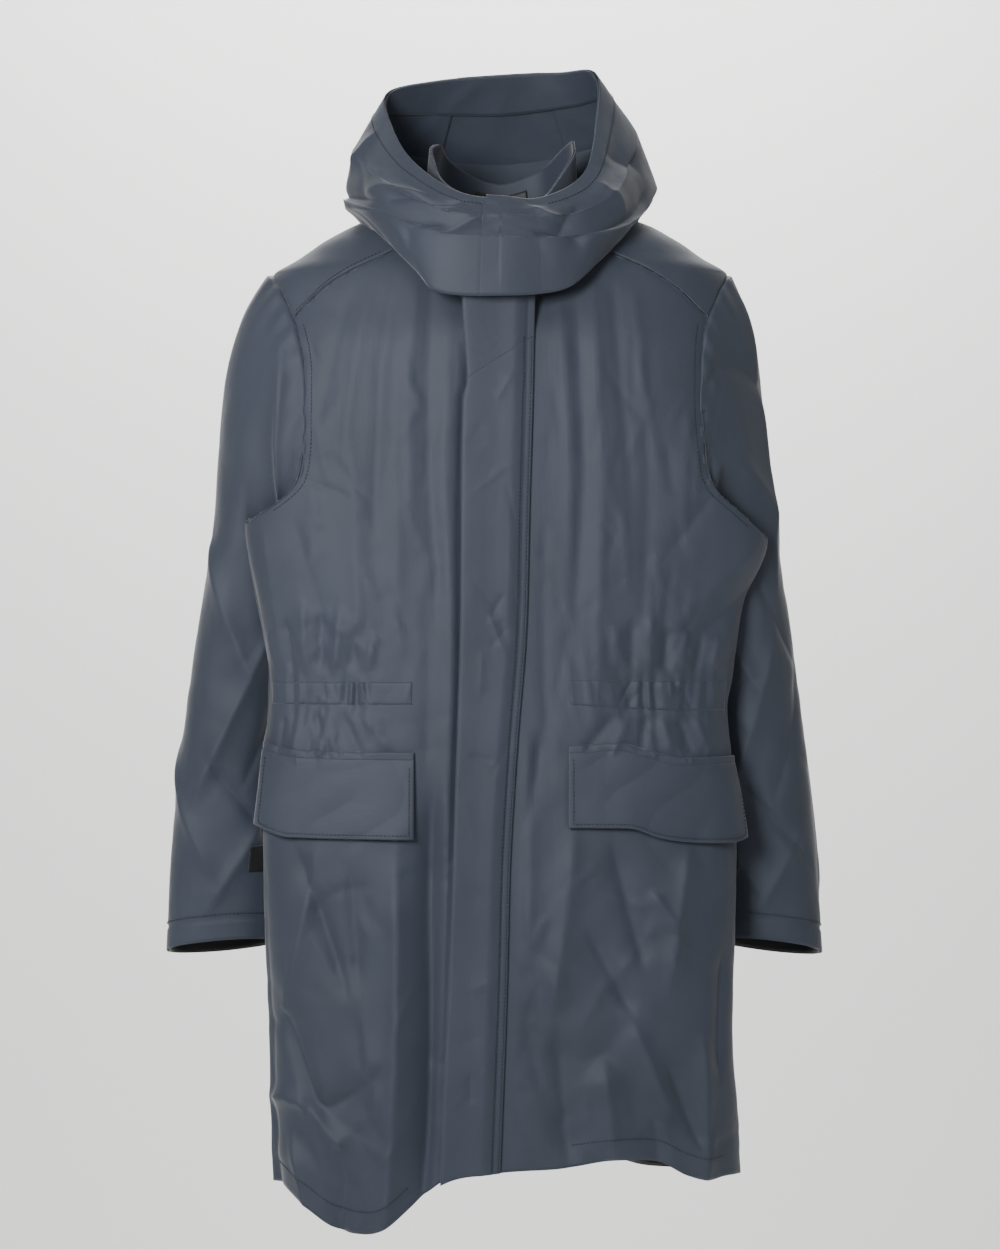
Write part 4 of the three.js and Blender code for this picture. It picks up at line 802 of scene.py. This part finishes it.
def flap_grid(ends, top, bottom, lift):
    """Grid of a flap: lift off the coat at its seam, and more towards its lower and outer edges."""
    def stand(x, v):
        outer = ease((np.abs(x) - 0.19) / 0.05)
        return lift + 0.0042 * v + 0.004 * outer * v + 0.0012 * np.sin(x * 55 + 1) * v
    return front_strip(ends, top, bottom, 130, 60, stand)


for side, word, ends, top, bottom in POCKETS:
    flap = grid_mesh(f"{word}_flap", flap_grid(ends, top, bottom, 0.0042), SHELL, thickness=0.0022)
    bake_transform(flap)
    hung([f"{word}_pocket_flap"])
    under = [(x, d + 0.002) for x, d in top]
    over = [(x, d - 0.0072) for x, d in top]
    welt = grid_mesh(f"{word}_welt", front_strip(ends, over, under, 120, 8, 0.0034), SHELL, thickness=0.0022)
    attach(welt, "root")
    hung([f"{word}_pocket_welt"])

# --- Topstitching ----------------------------------------------------------------------------------
# Rows of matching thread: twin rows down the fly, and single rows round the armholes, shoulder seams,
# pocket flaps, hem, cuffs and the hood's rim.

THREAD, _, thread_shader = new_material("slate thread")
thread_shader.inputs["Base Color"].default_value = (0.012, 0.015, 0.022, 1)
thread_shader.inputs["Roughness"].default_value = 0.6


def stitches(name, points, length=0.0026, gap=0.0013, radius=0.0005):
    """A row of thread: short six-sided capsules laid along a line of points, tapering at both ends."""
    step = np.linalg.norm(np.diff(points, axis=0), axis=1)
    run = np.concatenate([[0], np.cumsum(step)])
    starts = np.arange(gap, run[-1] - length, length + gap)
    share = np.array([0.0, 0.18, 0.5, 0.82, 1.0])
    thick = np.array([0.15, 0.85, 1.0, 0.85, 0.15])
    at = starts[:, None] + share[None] * length
    centre = np.stack([np.interp(at, run, points[:, k]) for k in range(3)], -1)
    ahead = centre[:, -1:] - centre[:, :1]
    ahead = ahead / np.linalg.norm(ahead, axis=-1, keepdims=True)
    out = np.cross(ahead, np.array([0.13, 0.11, 1.0]))
    out = out / np.linalg.norm(out, axis=-1, keepdims=True)
    other = np.cross(ahead, out)
    turn = np.arange(6) * np.pi / 3
    ring = out[:, :, None] * np.cos(turn)[:, None] + other[:, :, None] * np.sin(turn)[:, None]
    co = centre[:, :, None] + ring * thick[None, :, None, None] * radius
    count = len(starts)
    index = np.arange(count * 30).reshape(count, 5, 6)
    near = np.roll(index, -1, axis=2)
    quads = np.stack([index[:, :-1], near[:, :-1], near[:, 1:], index[:, 1:]], -1).reshape(-1, 4)
    mesh = bpy.data.meshes.new(name)
    mesh.from_pydata(co.reshape(-1, 3).tolist(), [], quads.tolist())
    mesh.polygons.foreach_set("use_smooth", np.ones(len(mesh.polygons), bool))
    mesh.materials.append(THREAD)
    piece = bpy.data.objects.new(name, mesh)
    bpy.context.scene.collection.objects.link(piece)
    return piece


def coat_line(x, drop, lift=0.0005):
    """Points on the front along a line of x and drop, with the folds of the cloth under them."""
    x = np.stack([x, x + 0.001])
    drop = np.stack([drop, drop + 0.001])
    wide = np.linspace(0, 1, 3)[:, None] * 0.001
    return coat(front_angle(x[:1] + 0 * wide, drop[:1] + wide), drop[:1] + wide, lift)[0]


rows = []
fly_lines = fly(0.1093, 0.1093, 0.94, 400, 330, 0.0)
fly_width = curve(FLY_RIGHT, 0.5) - curve(FLY_LEFT, 0.5)
for inset in (0.0022, 0.0090):
    column = int((1 - inset / fly_width) * 399)
    rows.append((f"fly_row_{int(inset * 1e4)}", fly_lines[:, column] - np.array([0, 0.0004, 0]), "root"))
for side, word in ((-1, "right"), (1, "left")):
    drop = levels(0.094, UNDERARM[side] - 0.012, 0.002)
    rows.append((f"{word}_armhole_row", coat_line(side * (armhole(drop, side) - 0.009), drop), "root"))
    drop = levels(0.024, 0.084, 0.002)
    seam = curve(SHOULDER_SEAM, drop + 0.004) - 0.003
    rows.append((f"{word}_shoulder_row", coat_line(side * seam, drop - 0.001, 0.0017), "root"))
    x = np.linspace(0.07 if side > 0 else 0.09, 0.222, 90)
    rows.append((f"{word}_hem_row", coat_line(side * x, np.full(90, 0.9185)), "root"))
    cuff = sleeve(side, lift=0.0005)[142]
    rows.append((f"{word}_cuff_row", np.concatenate([cuff, cuff[:1]]), f"{word}_sleeve"))
for name, line, body in rows:
    thread = stitches(name, line)
    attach(thread, body)
for side, word, ends, top, bottom in POCKETS:
    grid = flap_grid(ends, top, bottom, 0.0047)
    line = np.concatenate([grid[4:56, 4], grid[56, 4:-4], grid[4:57, -5][::-1]])
    thread = stitches(f"{word}_flap_row", line)
    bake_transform(thread)
rim = stitches("hood_rim_row", hood(0.03, 0.925, 500, lift=0.0005)[9])
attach(rim, "hood")

# --- Inside of the front: facings, pocket bags, wind flap and tapes ---------------------------------
# Strips and bags of black cloth behind the front, following it a few millimetres inside.

def behind(side, edge, top, bottom, lift, columns=24):
    """Grid behind a front panel between two distances from the zip line."""
    drop = levels(top, bottom, 0.008)[:, None]
    x = curve(ZIP_LINE, drop) + side * np.linspace(*edge, columns)[None]
    return coat(front_angle(x, drop + 0 * x), drop + 0 * x, lift)


def hem_strip(start, end, lift=-0.0032):
    """Grid behind the hem between two angles."""
    drop = levels(0.916, 0.939, 0.004)[:, None]
    angle = np.linspace(start, end, 120)[None]
    return coat(angle + 0 * drop, drop + 0 * angle, lift)


back_strip = np.concatenate([hem_strip(SIDE_SEAM, np.pi)[:, :-1], hem_strip(-np.pi, -SIDE_SEAM)], 1)
inside = [("back_hem_strip", back_strip, "back_hem_facing", "black_lining", (0.46, 0.026)),
          ("wind_flap", behind(1, (-0.022, 0.022), 0.12, 0.90, -0.0078), "inner_wind_flap", "shell_cloth",
           (0.045, 0.80))]
for side, word in ((-1, "right"), (1, "left")):
    inside += [
        (f"{word}_facing", behind(side, (0.017, 0.055), 0.10, 0.91, -0.0035), f"{word}_front_facing",
         "black_lining", (0.040, 0.83)),
        (f"{word}_hem_strip", hem_strip(side * 0.32, side * SIDE_SEAM), f"{word}_hem_facing",
         "black_lining", (0.24, 0.026)),
        (f"{word}_bag", behind(side, (0.080, 0.200), 0.53, 0.73, -0.0058), f"{word}_pocket_bag",
         "black_lining", (0.13, 0.21)),
        (f"{word}_zip_tape", behind(side, (0.0032, 0.016), 0.045, 0.87, -0.0038, 6), f"zip_tape_{word}",
         "black_tape", (0.013, 0.83)),
    ]
for name, points, node, finish, flat in inside:
    piece = grid_mesh(name, points, SHELL if finish == "shell_cloth" else BLACK, thickness=0.0006)
    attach(piece, "root")
    hung([node])

# --- Zip and snaps ---------------------------------------------------------------------------------
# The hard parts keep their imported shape: a black plastic zip with a metal slider and puller, and metal
# snaps and hood slider.

PLASTIC, _, plastic = new_material("black plastic")
plastic.inputs["Base Color"].default_value = (0.009, 0.009, 0.010, 1)
plastic.inputs["Roughness"].default_value = 0.38
METAL, _, metal = new_material("snap metal")
metal.inputs["Base Color"].default_value = (0.42, 0.42, 0.43, 1)
metal.inputs["Metallic"].default_value = 1.0
metal.inputs["Roughness"].default_value = 0.28
FINISH = {"zip_teeth": PLASTIC, "zip_box": PLASTIC, "zip_slider": METAL, "zip_puller": METAL, "stud": METAL,
          "hood_zip_slider": METAL}
for name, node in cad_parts.items():
    look = next((m for start, m in FINISH.items() if name.startswith(start)), BLACK)
    node.data.materials.clear()
    node.data.materials.append(look)

# --- Camera, light and floor -----------------------------------------------------------------------
# Seen straight from the front at the coat's middle, in a pale room with broad soft light.

camera = bpy.data.objects.new("camera", bpy.data.cameras.new("camera"))
bpy.context.scene.collection.objects.link(camera)
camera.location = (0.0, -2.9, -0.3945)
camera.rotation_euler = (np.pi / 2, 0, 0)
camera.data.sensor_fit = "VERTICAL"
camera.data.angle = 2 * np.arctan(0.5 * 1.2305 / 2.8)
bpy.context.scene.camera = camera

PALE, _, pale = new_material("pale wall")
pale.inputs["Base Color"].default_value = (0.86, 0.86, 0.85, 1)
pale.inputs["Roughness"].default_value = 0.9
for name, size, place, tilt in (("floor", 24, (0, 0, -2.1), 0), ("wall", 24, (0, 4.6, 0), np.pi / 2)):
    bpy.ops.mesh.primitive_plane_add(size=size, location=place, rotation=(tilt, 0, 0))
    plane = bpy.context.object
    plane.name = name
    plane.data.materials.append(PALE)

for name, place, size, power, aim in (("key", (-0.72, -1.7, 0.05), 0.6, 37, (0, 0, -0.28)),
                                      ("graze", (-2.2, -1.2, 0.6), 0.7, 5, (0, 0, -0.30)),
                                      ("fill", (1.5, -2.9, 0.2), 2.0, 12, (0, 0, -0.30)),
                                      ("wash", (0.0, 2.6, 2.6), 3.5, 420, (0, 4.6, -0.4)),
                                      ("top", (0.1, -0.8, 2.0), 1.0, 8, (0, 0, -0.2))):
    light = bpy.data.objects.new(name, bpy.data.lights.new(name, "AREA"))
    light.data.size = size
    light.data.energy = power
    light.location = place
    toward = np.array(aim) - np.array(place)
    light.rotation_euler = Vector(toward).to_track_quat("-Z", "Y").to_euler()
    bpy.context.scene.collection.objects.link(light)
world = bpy.data.worlds.new("room")
world.use_nodes = True
world.node_tree.nodes["Background"].inputs["Color"].default_value = (1.0, 1.0, 1.0, 1)
world.node_tree.nodes["Background"].inputs["Strength"].default_value = 0.20
bpy.context.scene.world = world
